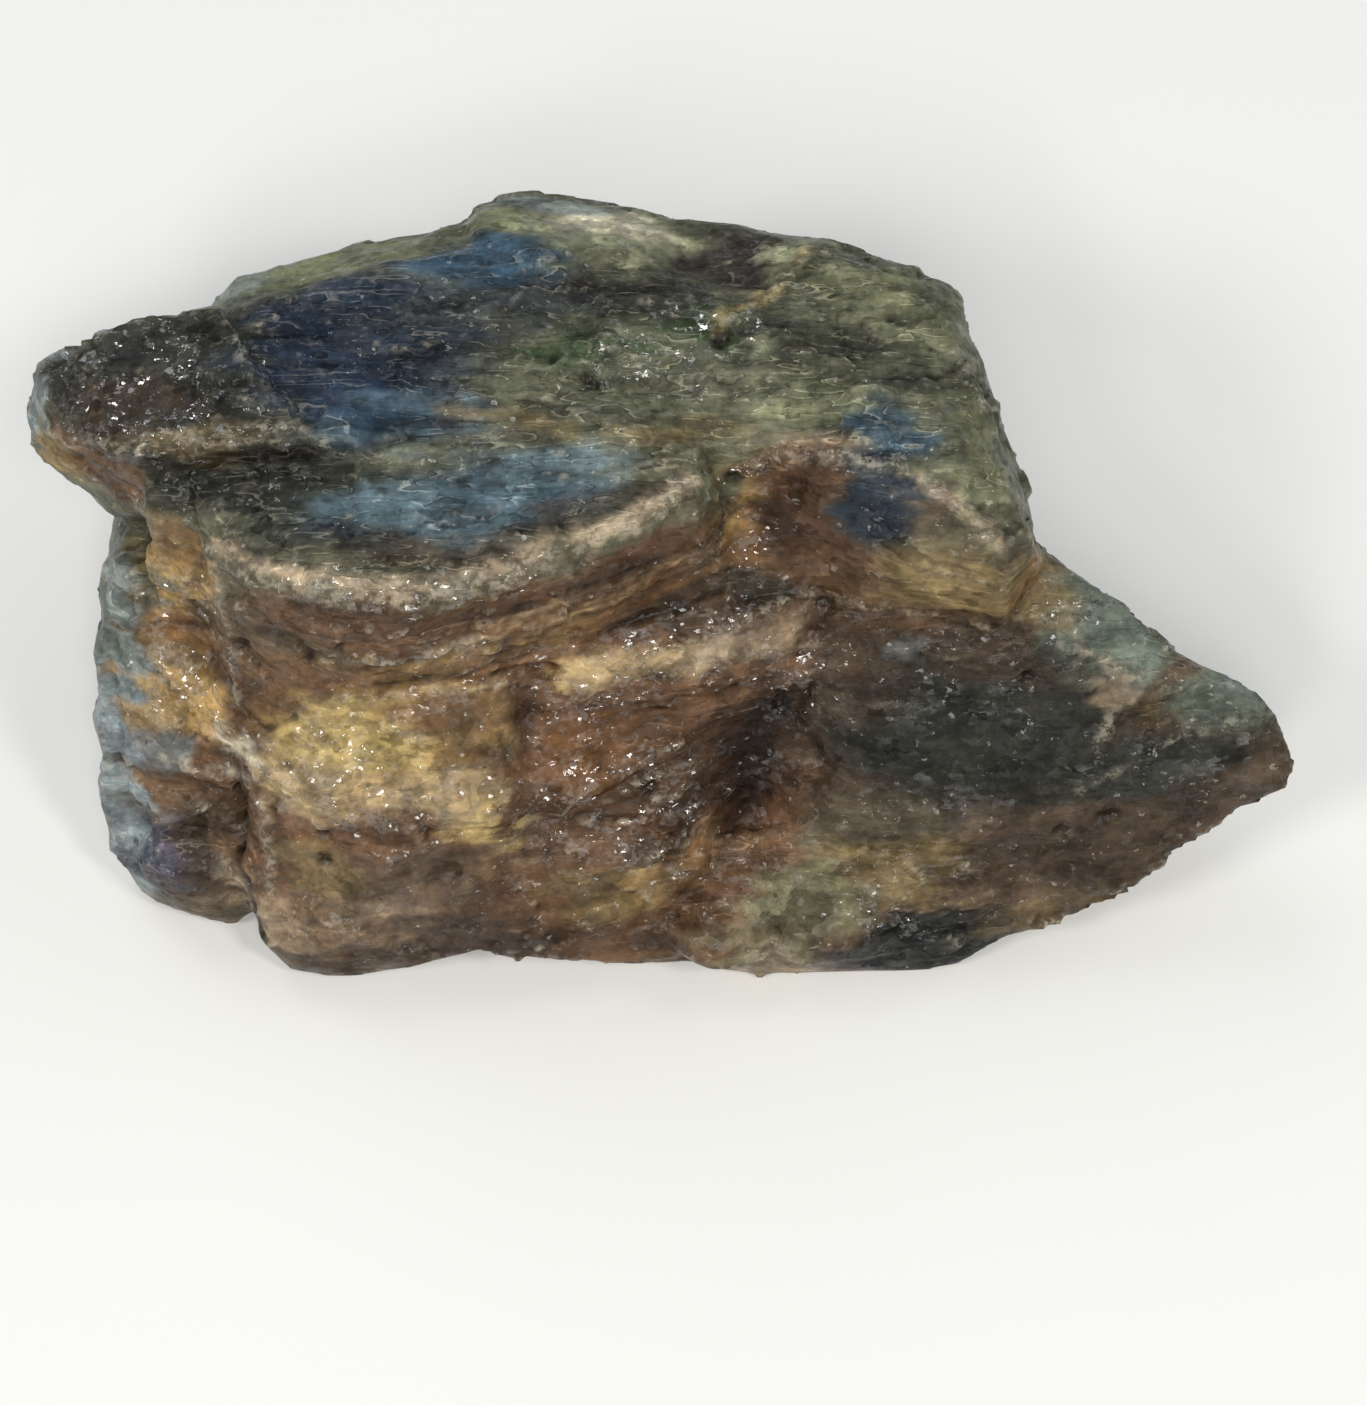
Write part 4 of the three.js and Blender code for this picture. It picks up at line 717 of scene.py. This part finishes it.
# Each stripe: colour, path, reach, strength. Stripes lie over the zones.
STRIPES = [
    # the worn rim of the shelf and the splits of the wall under it
    (PALE_ROSE, [(-13.0, -3.2, 13.7), (-11.7, -4.0, 13.9), (-9.0, -4.8, 14.1), (-7.5, -5.0, 14.2),
                 (-4.7, -4.2, 14.3), (-1.3, -2.8, 14.3), (0.8, -1.3, 14.4)], 0.46, 1.0),
    (BROWN, [(-11.6, -4.9, 12.4), (-9.0, -5.5, 12.4), (-7.4, -5.7, 12.4), (-4.6, -5.0, 12.6),
             (-1.3, -3.6, 12.8), (0.8, -2.4, 13.0)], 1.3, 0.9),
    (DARK_BROWN, [(-11.2, -5.0, 12.6), (-9.6, -5.5, 12.4)], 0.9, 0.6),
    (DARK_BROWN, [(-5.6, -5.3, 12.8), (-3.4, -4.6, 12.8), (-0.6, -3.3, 12.9)], 0.6, 0.7),
    (GOLD, [(-8.6, -6.0, 11.2), (-6.2, -5.7, 11.2), (-3.6, -5.0, 11.3)], 0.3, 0.8),
    (GOLD, [(-8.2, -6.1, 10.0), (-6.3, -5.9, 9.9), (-4.9, -5.5, 9.5)], 0.5, 0.5),
    (AMBER, [(-9.4, -6.1, 10.2), (-6.2, -5.9, 10.4), (-3.4, -5.3, 10.7), (-0.6, -4.2, 11.2),
             (0.8, -3.1, 11.9)], 0.6, 0.7),
    (CREAM, [(-8.6, -5.8, 11.45), (-6.8, -5.6, 11.5), (-5.0, -5.1, 11.6)], 0.28, 0.9),
    (CREAM, [(-8.2, -6.1, 10.0), (-6.3, -5.9, 9.9), (-4.9, -5.5, 9.5)], 0.22, 0.6),
    (CREAM, [(-5.4, -5.2, 12.2), (-3.0, -4.4, 12.5), (0.4, -2.9, 12.6)], 0.24, 0.6),
    (CREAM, [(-4.6, -5.1, 11.9), (-2.4, -4.4, 12.0), (0.2, -3.2, 12.1)], 0.24, 0.6),
    (CREAM, [(-5.0, -5.1, 11.6), (-3.1, -4.5, 11.6), (-0.5, -3.5, 11.5)], 0.24, 0.6),
    (OCHRE, [(-11.0, -5.4, 11.6), (-9.4, -5.7, 11.5)], 0.7, 0.6),
    (BROWN, [(-8.2, -6.7, 9.1), (-5.8, -6.0, 9.4)], 0.5, 0.7),

    # ochre seams of the top
    (OCHRE, [(-6.5, 0.6, 14.8), (-3.9, 0.3, 14.7), (-2.0, 0.0, 14.6), (0.8, -0.3, 14.5)], 0.5, 0.7),
    (OCHRE, [(-15.0, -0.3, 14.6), (-12.4, -0.2, 14.8), (-10.4, -0.2, 14.9)], 0.5, 0.6),
    (YELLOW, [(4.2, 6.8, 13.8), (3.0, 5.2, 14.1), (1.4, 3.7, 14.4)], 0.4, 0.55),
    (PALE_OLIVE, [(2.9, 3.4, 14.4), (2.6, 2.2, 14.4), (2.4, 0.9, 14.4)], 0.5, 0.6),
    (GREY, [(-0.8, -1.1, 14.4), (2.0, -0.3, 14.2), (5.1, -0.6, 14.5), (8.0, -1.6, 14.1)], 0.3, 0.6),
    (ROSE_GREY, [(7.2, -1.4, 14.3), (8.2, -1.9, 14.1), (9.7, -3.1, 13.4)], 0.4, 0.45),

    # tongue: painted shade in the crevice behind, pale grooved face, and dark brown under the overhang
    # deepened as painted shadow
    # painted shade in the crevice behind the tongue
    (DARK_BROWN, [(-2.0, -4.2, 10.4), (0.2, -3.8, 10.8), (1.6, -3.3, 10.9)], 0.25, 0.8),
    (YELLOW, [(-3.0, -5.0, 9.4), (-2.0, -5.0, 9.5)], 0.7, 0.7),
    (CREAM, [(-2.6, -5.1, 9.5), (-0.8, -5.0, 9.6), (1.0, -4.7, 9.7)], 0.95, 0.9),
    (ROSE_GREY, [(0.8, -4.7, 9.7), (2.2, -4.3, 9.8), (3.6, -3.8, 9.7)], 1.0, 0.85),
    (BROWN, [(-1.4, -5.3, 8.9), (0.6, -5.1, 8.9), (2.2, -4.8, 9.0)], 0.3, 0.5),
    # dark brown under the tongue's overhang, partly its own colour and partly painted shadow
    (DARK_BROWN, [(-0.6, -6.3, 6.6), (1.2, -5.8, 6.7), (2.7, -5.0, 6.9), (4.0, -4.4, 8.0)], 0.5, 0.8),

    # pale edges of crevices and of the recess's curled lip
    (CHALK, [(-15.3, -6.0, 5.7), (-14.0, -6.4, 5.8), (-12.6, -6.9, 6.4)], 0.35, 0.4),
    (ROSE_GREY, [(-12.1, -7.6, 6.1), (-11.9, -8.8, 4.3), (-12.1, -9.8, 2.3)], 0.35, 0.6),
    # black painted along the crevice beside the lip, as its shade
    (BLACK, [(-12.9, -7.1, 5.4), (-12.9, -7.5, 3.7), (-12.7, -9.0, 2.6), (-12.5, -10.4, 1.0)],
     0.35, 0.9),
    (ROSE_GREY, [(11.6, -4.0, 9.4), (14.0, -4.9, 8.7)], 0.3, 0.5),
    (CREAM, [(7.6, -3.2, 12.4), (10.0, -3.6, 11.9)], 0.2, 0.5),
    (OCHRE, [(8.6, -3.5, 10.1), (10.6, -3.4, 10.3), (11.8, -2.7, 10.0)], 0.4, 0.6),

    # the valley between the brown ribs and the dark front: dark brown, deepened to near black as
    # painted shade
    (DARK_BROWN, [(3.3, -4.8, 7.6), (2.9, -5.8, 5.4), (2.5, -6.7, 4.2), (1.6, -8.3, 2.9)], 1.5, 0.85),
    (VALLEY_SHADE, [(2.9, -5.0, 7.2), (2.5, -5.8, 5.4), (2.3, -6.6, 4.2)], 1.3, 0.9),
]


# A slight warm tone over all the zones.
WHOLE_TONE = np.array([0.97, 0.97, 0.92])


def colour_points(points):
    """The colour of each point: the zones, with their edges frayed and stretched along the sheets."""
    fray = 1 - 0.6 * best_of(points, SMOOTH_BREAKS)
    frayed = points.copy()
    frayed[:, 0] += 1.5 * fray * layered_swell(points / (3.6, 0.9, 0.7), 101, 3)
    frayed[:, 1] += 0.5 * fray * layered_swell(points / (2.2, 1.2, 1.0), 111, 4)
    frayed[:, 2] += 0.5 * fray * layered_swell(points / (2.6, 1.6, 0.9), 121, 4)
    colour = np.tile(OLIVE_GREY, (len(points), 1))
    for tint, at, radii, turn, strength in ZONES:
        share = strength * patch(frayed, at, radii, turn, 0.35)
        colour += share[:, None] * (tint - colour)
    crooked = wavering(wavering(points, 0.9, 0.3, 131), 0.35, 0.22, 135)
    for tint, path, reach, strength in STRIPES:
        share = strength * near_line(crooked, path, reach)
        colour += share[:, None] * (tint - colour)
    return colour * WHOLE_TONE


# ---- the dressed stone ----

def keep_values(mesh, name, values):
    """Stores a value for each point, where the material can read it."""
    if values.ndim == 1:
        mesh.attributes.new(name, "FLOAT", "POINT").data.foreach_set("value", values)
    else:
        opaque = np.column_stack([values, np.ones(len(values))])
        mesh.attributes.new(name, "FLOAT_COLOR", "POINT").data.foreach_set("color", opaque.ravel())


def build_stone():
    """The stone with its relief, and with what its material reads stored at each point."""
    mesh = fine_stone()
    stone = Surface(mesh)
    on_ridge, in_cut = add_relief(stone)
    points = stone.points
    near = stone.standing_out(4)
    broad = stone.standing_out(60)
    values = {
        "zone colour": colour_points(points),
        "facing up": np.clip(stone.normals(8)[:, 2], 0, 1) ** 3,
        "sparkle": 0.15 + 0.85 * best_of(wavering(points, 1.0, 0.6, 141), SPARKLING_BREAKS),
        "plain": best_of(points, SMOOTH_BREAKS),
        "grainy": best_of(wavering(points, 1.0, 0.5, 151), GRAINY_BREAKS),
        "edge": np.maximum(smooth_step(near, 0.03, 0.12), 0.6 * on_ridge),
        # gap and hollow say how deep a point lies in a small gap or a broad hollow; the material paints
        # shade in both
        "gap": np.maximum(smooth_step(-near, 0.02, 0.11), in_cut),
        "hollow": smooth_step(-broad, -0.05, 0.45),
    }
    for name, each in values.items():
        keep_values(mesh, name, each)
    mesh.vertices.foreach_set("co", (points * MM).ravel())
    mesh.update()
    mesh.polygons.foreach_set("use_smooth", np.ones(len(mesh.polygons), dtype=bool))
    piece = bpy.data.objects.new("sapphire_surface", mesh)
    bpy.context.collection.objects.link(piece)
    return piece


# ---- material ----

class Recipe:
    """A material's nodes, each made and wired by one call."""

    def __init__(self, name):
        self.material = bpy.data.materials.new(name)
        self.material.use_nodes = True
        self.tree = self.material.node_tree

    def add(self, kind, inputs=(), **settings):
        """A node with its settings, and with each input wired or set."""
        node = self.tree.nodes.new("ShaderNode" + kind)
        for key, value in settings.items():
            setattr(node, key, value)
        for key, value in dict(inputs).items():
            self.feed(node.inputs[key], value)
        return node

    def feed(self, socket, value):
        """Wires an output into a socket, or sets the socket to a number or colour."""
        if isinstance(value, bpy.types.NodeSocket):
            self.tree.links.new(value, socket)
        else:
            socket.default_value = value

    def finish(self, inputs):
        """Feeds the shader's own sockets."""
        for name, value in inputs.items():
            self.feed(self.tree.nodes["Principled BSDF"].inputs[name], value)

    def value(self, name):
        """A number that is stored at the points."""
        return self.add("Attribute", attribute_name=name).outputs["Fac"]

    def colour(self, name):
        """A colour that is stored at the points."""
        return self.add("Attribute", attribute_name=name).outputs["Color"]

    def parts(self, colour):
        """The red, green and blue of a colour, each as a number."""
        return self.add("SeparateColor", {"Color": colour}).outputs

    def place(self, scale, turn=(0, 0, 0)):
        """Object coordinates in millimetres, stretched by scale and turned."""
        where = self.add("TexCoord").outputs["Object"]
        full = tuple(part / MM for part in scale)
        return self.add("Mapping", {"Vector": where, "Scale": full, "Rotation": turn},
                        vector_type="POINT").outputs["Vector"]

    def noise(self, where, scale, detail, roughness=0.55):
        """Soft clouds from 0 to 1, mostly near 0.5."""
        return self.add("TexNoise", {"Vector": where, "Scale": scale, "Detail": detail,
                                               "Roughness": roughness}).outputs["Fac"]

    def ramp(self, value, low, high, to_low=0.0, to_high=1.0):
        """The value's range from low to high, softly turned into another range."""
        return self.add("MapRange", {"Value": value, "From Min": low, "From Max": high,
                                               "To Min": to_low, "To Max": to_high},
                        interpolation_type="SMOOTHSTEP").outputs["Result"]

    def maths(self, operation, *values):
        node = self.add("Math", operation=operation)
        for socket, value in zip(node.inputs, values):
            self.feed(socket, value)
        return node.outputs["Value"]

    def plus(self, one, other):
        return self.maths("ADD", one, other)

    def times(self, product, *others):
        """The product of several numbers."""
        for other in others:
            product = self.maths("MULTIPLY", product, other)
        return product

    def less(self, value):
        """1 less the value."""
        return self.maths("SUBTRACT", 1.0, value)

    def either(self, share, one, other):
        """The one number where share is 1, the other where it is 0, and a mix between."""
        return self.plus(self.times(one, share), self.times(other, self.less(share)))

    def saw(self, value, times):
        """A number that climbs from 0 to 1 and drops back, so many times over."""
        return self.maths("FRACT", self.times(value, times))

    def mix(self, share, under, over, blend_type="MIX"):
        """One colour laid over another."""
        node = self.add("Mix", data_type="RGBA", blend_type=blend_type)
        self.feed(node.inputs["Factor"], share)
        self.feed(node.inputs[6], under)
        self.feed(node.inputs[7], over)
        return node.outputs[2]

    def brighten(self, colour, amount):
        """The colour times a number, such as one that varies from place to place."""
        grey = self.add("CombineColor", {"Red": amount, "Green": amount, "Blue": amount})
        return self.mix(1.0, colour, grey.outputs["Color"], "MULTIPLY")

    def vectors(self, operation, *values):
        node = self.add("VectorMath", operation=operation)
        for socket, value in zip(node.inputs, values):
            self.feed(socket, value)
        return node.outputs["Vector"]

    def push(self, vector, ways, amount):
        """The vector pushed along a direction that is given as a colour."""
        centred = self.vectors("SUBTRACT", ways, (0.5, 0.5, 0.5))
        return self.vectors("ADD", vector, self.vectors("MULTIPLY", centred, (amount,) * 3))

    def facets(self, where, scale):
        """A random colour for each of many small irregular facets."""
        bent = self.add("TexNoise", {"Vector": where, "Scale": scale, "Detail": 3.0})
        bent = self.push(where, bent.outputs["Color"], 1.2 / scale)
        return self.add("TexVoronoi", {"Vector": bent, "Scale": scale}).outputs["Color"]

    def bump(self, height, strength, distance, normal=None):
        """A normal tipped by a height, with its distance in millimetres."""
        node = self.add("Bump", {"Height": height, "Strength": strength,
                                           "Distance": distance * MM})
        if normal:
            self.feed(node.inputs["Normal"], normal)
        return node.outputs["Normal"]


class Corundum(Recipe):
    """Glassy broken stone: clouded colour, pale worn edges, painted shade in gaps and hollows, painted
    highlights and shadows where sheets end, and glinting facets.
    """

    # pale grains on worn edges, also used for the painted highlights where sheets end
    PALE_DUST_AND_HIGHLIGHT = (*from_screen(184, 176, 156), 1)
    # near-black brown painted into small gaps, cut lines and pits as their shade
    GAP_SHADE = (*from_screen(22, 15, 10), 1)

    def __init__(self):
        super().__init__("corundum")
        self.fine = self.place((1, 1, 1))
        self.along = self.place((0.30, 1.8, 1.6), (0, 0, radians(-6)))
        self.level = self.place((0.07, 0.07, 1.0))
        broken = self.place((0.8, 1.2, 1.5))
        self.big_facets = self.facets(broken, 0.9)
        self.small_facets = self.facets(broken, 3.0)
        self.grains = self.parts(self.facets(self.fine, 1.9))
        self.up = self.value("facing up")
        self.hollow = self.value("hollow")
        self.sheeted = self.less(self.times(self.value("grainy"), 0.8))
        self.flakes = self.saw(self.noise(self.along, 0.7, 2, 0.5), 8.0)
        self.sheets = self.saw(self.noise(self.level, 1.1, 2, 0.5), 9.0)

        colour = self.with_wear_and_painted_shade(self.with_painted_sheet_end_light_and_shade(self.clouded_colour()))
        normal = self.broken_normal()
        self.finish({
            "Base Color": colour,
            "Normal": normal,
            "Roughness": self.ramp(self.noise(self.fine, 1.2, 3), 0.35, 0.65, 0.25, 0.5),
            "IOR": 1.5,
            "Specular IOR Level": 0.18,
            **self.crystal_faces(normal),
        })

    def clouded_colour(self):
        """The zone colours with clouds, streaks along the sheets, fine grain and single facets."""
        clouds = self.noise(self.fine, 0.8, 5, 0.6)
        colour = self.brighten(self.colour("zone colour"), self.ramp(clouds, 0.30, 0.70, 0.62, 1.38))
        streaks = self.ramp(self.noise(self.along, 1.0, 4, 0.6), 0.3, 0.7, 0.52, 1.48)
        veils = self.ramp(self.noise(self.level, 1.6, 4, 0.6), 0.3, 0.7, 0.66, 1.38)
        blocks = self.ramp(self.grains["Green"], 0.0, 1.0, 0.72, 1.3)
        marks = self.either(self.sheeted, self.either(self.up, streaks, veils), blocks)
        colour = self.brighten(colour, marks)
        grain = self.noise(self.fine, 4.5, 4, 0.6)
        colour = self.brighten(colour, self.ramp(grain, 0.28, 0.72, 0.85, 1.18))
        for facets, change in ((self.big_facets, 0.2), (self.small_facets, 0.15)):
            random = self.parts(facets)["Red"]
            colour = self.brighten(colour, self.ramp(random, 0, 1, 1 - change, 1 + change))
        return colour

    def with_painted_sheet_end_light_and_shade(self, colour):
        """Where thin sheets end, painted highlights make broken pale lines, with painted shadow lines
        just under them: wavy on flat faces and level on upright ones.
        """
        cover = self.noise(self.fine, 1.0, 3, 0.7)
        wavy = self.times(self.ramp(self.flakes, 0.76, 0.97), self.up, self.ramp(cover, 0.46, 0.6))
        level = self.times(self.ramp(self.sheets, 0.88, 0.97), self.less(self.up),
                           self.ramp(cover, 0.5, 0.62), 0.5)
        plain = self.ramp(self.value("plain"), 0.0, 1.0, 1.0, 0.2)
        ends = self.times(self.plus(wavy, level), self.sheeted, plain)
        # painted highlight: the sheet ends are lightened and mixed towards pale
        colour = self.brighten(colour, self.plus(1.0, self.times(ends, 1.1)))
        colour = self.mix(self.times(ends, 0.18), colour, self.PALE_DUST_AND_HIGHLIGHT)
        # painted shadow: a dark line just under each sheet end
        under = self.either(self.up, self.ramp(self.flakes, 0.15, 0.0),
                            self.ramp(self.sheets, 0.12, 0.0, 0.0, 0.6))
        under = self.times(under, self.sheeted)
        return self.brighten(colour, self.ramp(under, 0.0, 1.0, 1.0, 0.5))

    def with_wear_and_painted_shade(self, colour):
        """Pale grains on worn edges, and painted shade that darkens hollows and gaps."""
        dust = self.ramp(self.noise(self.fine, 3.2, 4, 0.7), 0.46, 0.58, 0.05, 0.7)
        colour = self.mix(self.times(self.value("edge"), dust), colour, self.PALE_DUST_AND_HIGHLIGHT)
        # painted shade: broad hollows are darkened, and open faces lightened a little
        colour = self.brighten(colour, self.ramp(self.hollow, 0.0, 1.0, 1.15, 0.4))
        # painted shade: small gaps, cut lines and pits are mixed towards near-black brown
        return self.mix(self.times(self.value("gap"), 0.8), colour, self.GAP_SHADE)

    def broken_normal(self):
        """Steps where sheets end and faint grit, then facets that are tipped their own way."""
        normal = self.bump(self.either(self.up, self.flakes, self.sheets), 0.5, 0.06)
        normal = self.bump(self.noise(self.fine, 2.4, 4, 0.5), 0.4, 0.10, normal)
        for facets, lean in ((self.big_facets, 0.5), (self.small_facets, 0.45)):
            normal = self.push(normal, facets, lean)
        return self.vectors("NORMALIZE", normal)

    def crystal_faces(self, normal):
        """A clear coat in small chosen places, whose faces catch the light by themselves."""
        glints = self.push(normal, self.facets(self.fine, 5.5), 1.5)
        cover = self.ramp(self.noise(self.fine, 1.3, 4, 0.75), 0.42, 0.5, 0.0, 1.0)
        sheltered = self.ramp(self.hollow, 0.1, 0.8, 1.0, 0.1)
        chosen = self.ramp(self.grains["Blue"], 0.22, 0.32)
        return {
            "Coat Weight": self.times(cover, self.value("sparkle"), sheltered, chosen),
            "Coat Normal": self.vectors("NORMALIZE", glints),
            "Coat Roughness": 0.05,
            "Coat IOR": 1.8,
        }


piece = build_stone()
piece.data.materials.append(Corundum().material)
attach(piece, "root")
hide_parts("rough_sapphire")


# ---- floor, light and camera, in metres ----

FLOOR_HALF = 0.6
FLOOR_COLOUR = (0.82, 0.82, 0.80, 1)
FLOOR_ROUGHNESS = 0.7
SKY_COLOUR = (0.92, 0.96, 1.0, 1)
SKY_STRENGTH = 0.16
STONE_MIDDLE = (0, 0, 0.008)
CAMERA_AT = (0.0005, -0.0603, 0.1136)
CAMERA_TILT = 27.5     # degrees up from looking straight down
CAMERA_LENS = 102.7
CAMERA_SENSOR = 36

# Soft lamps that aim at the middle of the stone: name, place, size, power, colour.
LAMPS = [
    ("right front", (0.16, -0.12, 0.26), 0.06, 0.24, (1.0, 0.97, 0.92)),
    ("left front", (-0.20, -0.14, 0.24), 0.08, 0.34, (1.0, 0.98, 0.95)),
    ("front", (0.00, -0.26, 0.34), 0.12, 0.46, (1.0, 0.98, 0.95)),
    ("near front", (-0.07, -0.26, 0.24), 0.05, 0.16, (1.0, 0.97, 0.90)),
    ("above", (0.05, -0.20, 0.34), 0.05, 0.16, (1.0, 0.97, 0.92)),
    ("left back", (-0.14, 0.20, 0.26), 0.20, 0.30, (0.90, 0.95, 1.0)),
    ("right back", (0.20, 0.14, 0.24), 0.20, 0.20, (0.90, 0.95, 1.0)),
]


def make_floor():
    """A plain pale floor under the stone."""
    shape = bmesh.new()
    bmesh.ops.create_grid(shape, x_segments=1, y_segments=1, size=FLOOR_HALF)
    mesh = bpy.data.meshes.new("floor")
    shape.to_mesh(mesh)
    shape.free()
    floor = bpy.data.objects.new("floor", mesh)
    bpy.context.collection.objects.link(floor)
    paint = Recipe("pale floor")
    paint.finish({"Base Color": FLOOR_COLOUR, "Roughness": FLOOR_ROUGHNESS})
    mesh.materials.append(paint.material)


def soft_light(name, at, size, power, colour):
    """A square lamp that aims at the middle of the stone."""
    lamp = bpy.data.lights.new(name, "AREA")
    lamp.size = size
    lamp.energy = power
    lamp.color = colour
    holder = bpy.data.objects.new(name, lamp)
    bpy.context.collection.objects.link(holder)
    holder.location = at
    way = Vector(STONE_MIDDLE) - Vector(at)
    holder.rotation_euler = way.to_track_quat("-Z", "Y").to_euler()


def light_sky():
    """A faint cool light from all round."""
    sky = bpy.data.worlds.new("sky")
    sky.use_nodes = True
    glow = sky.node_tree.nodes["Background"]
    glow.inputs["Color"].default_value = SKY_COLOUR
    glow.inputs["Strength"].default_value = SKY_STRENGTH
    bpy.context.scene.world = sky
    bpy.context.scene.view_settings.view_transform = "Standard"


def place_camera():
    """The camera looks down on the stone from the front."""
    lens = bpy.data.cameras.new("camera")
    lens.lens = CAMERA_LENS
    lens.sensor_width = CAMERA_SENSOR
    lens.clip_start = 0.01
    camera = bpy.data.objects.new("camera", lens)
    bpy.context.collection.objects.link(camera)
    camera.location = CAMERA_AT
    camera.rotation_euler = (radians(CAMERA_TILT), 0, 0)
    bpy.context.scene.camera = camera


make_floor()
for lamp in LAMPS:
    soft_light(*lamp)
light_sky()
place_camera()
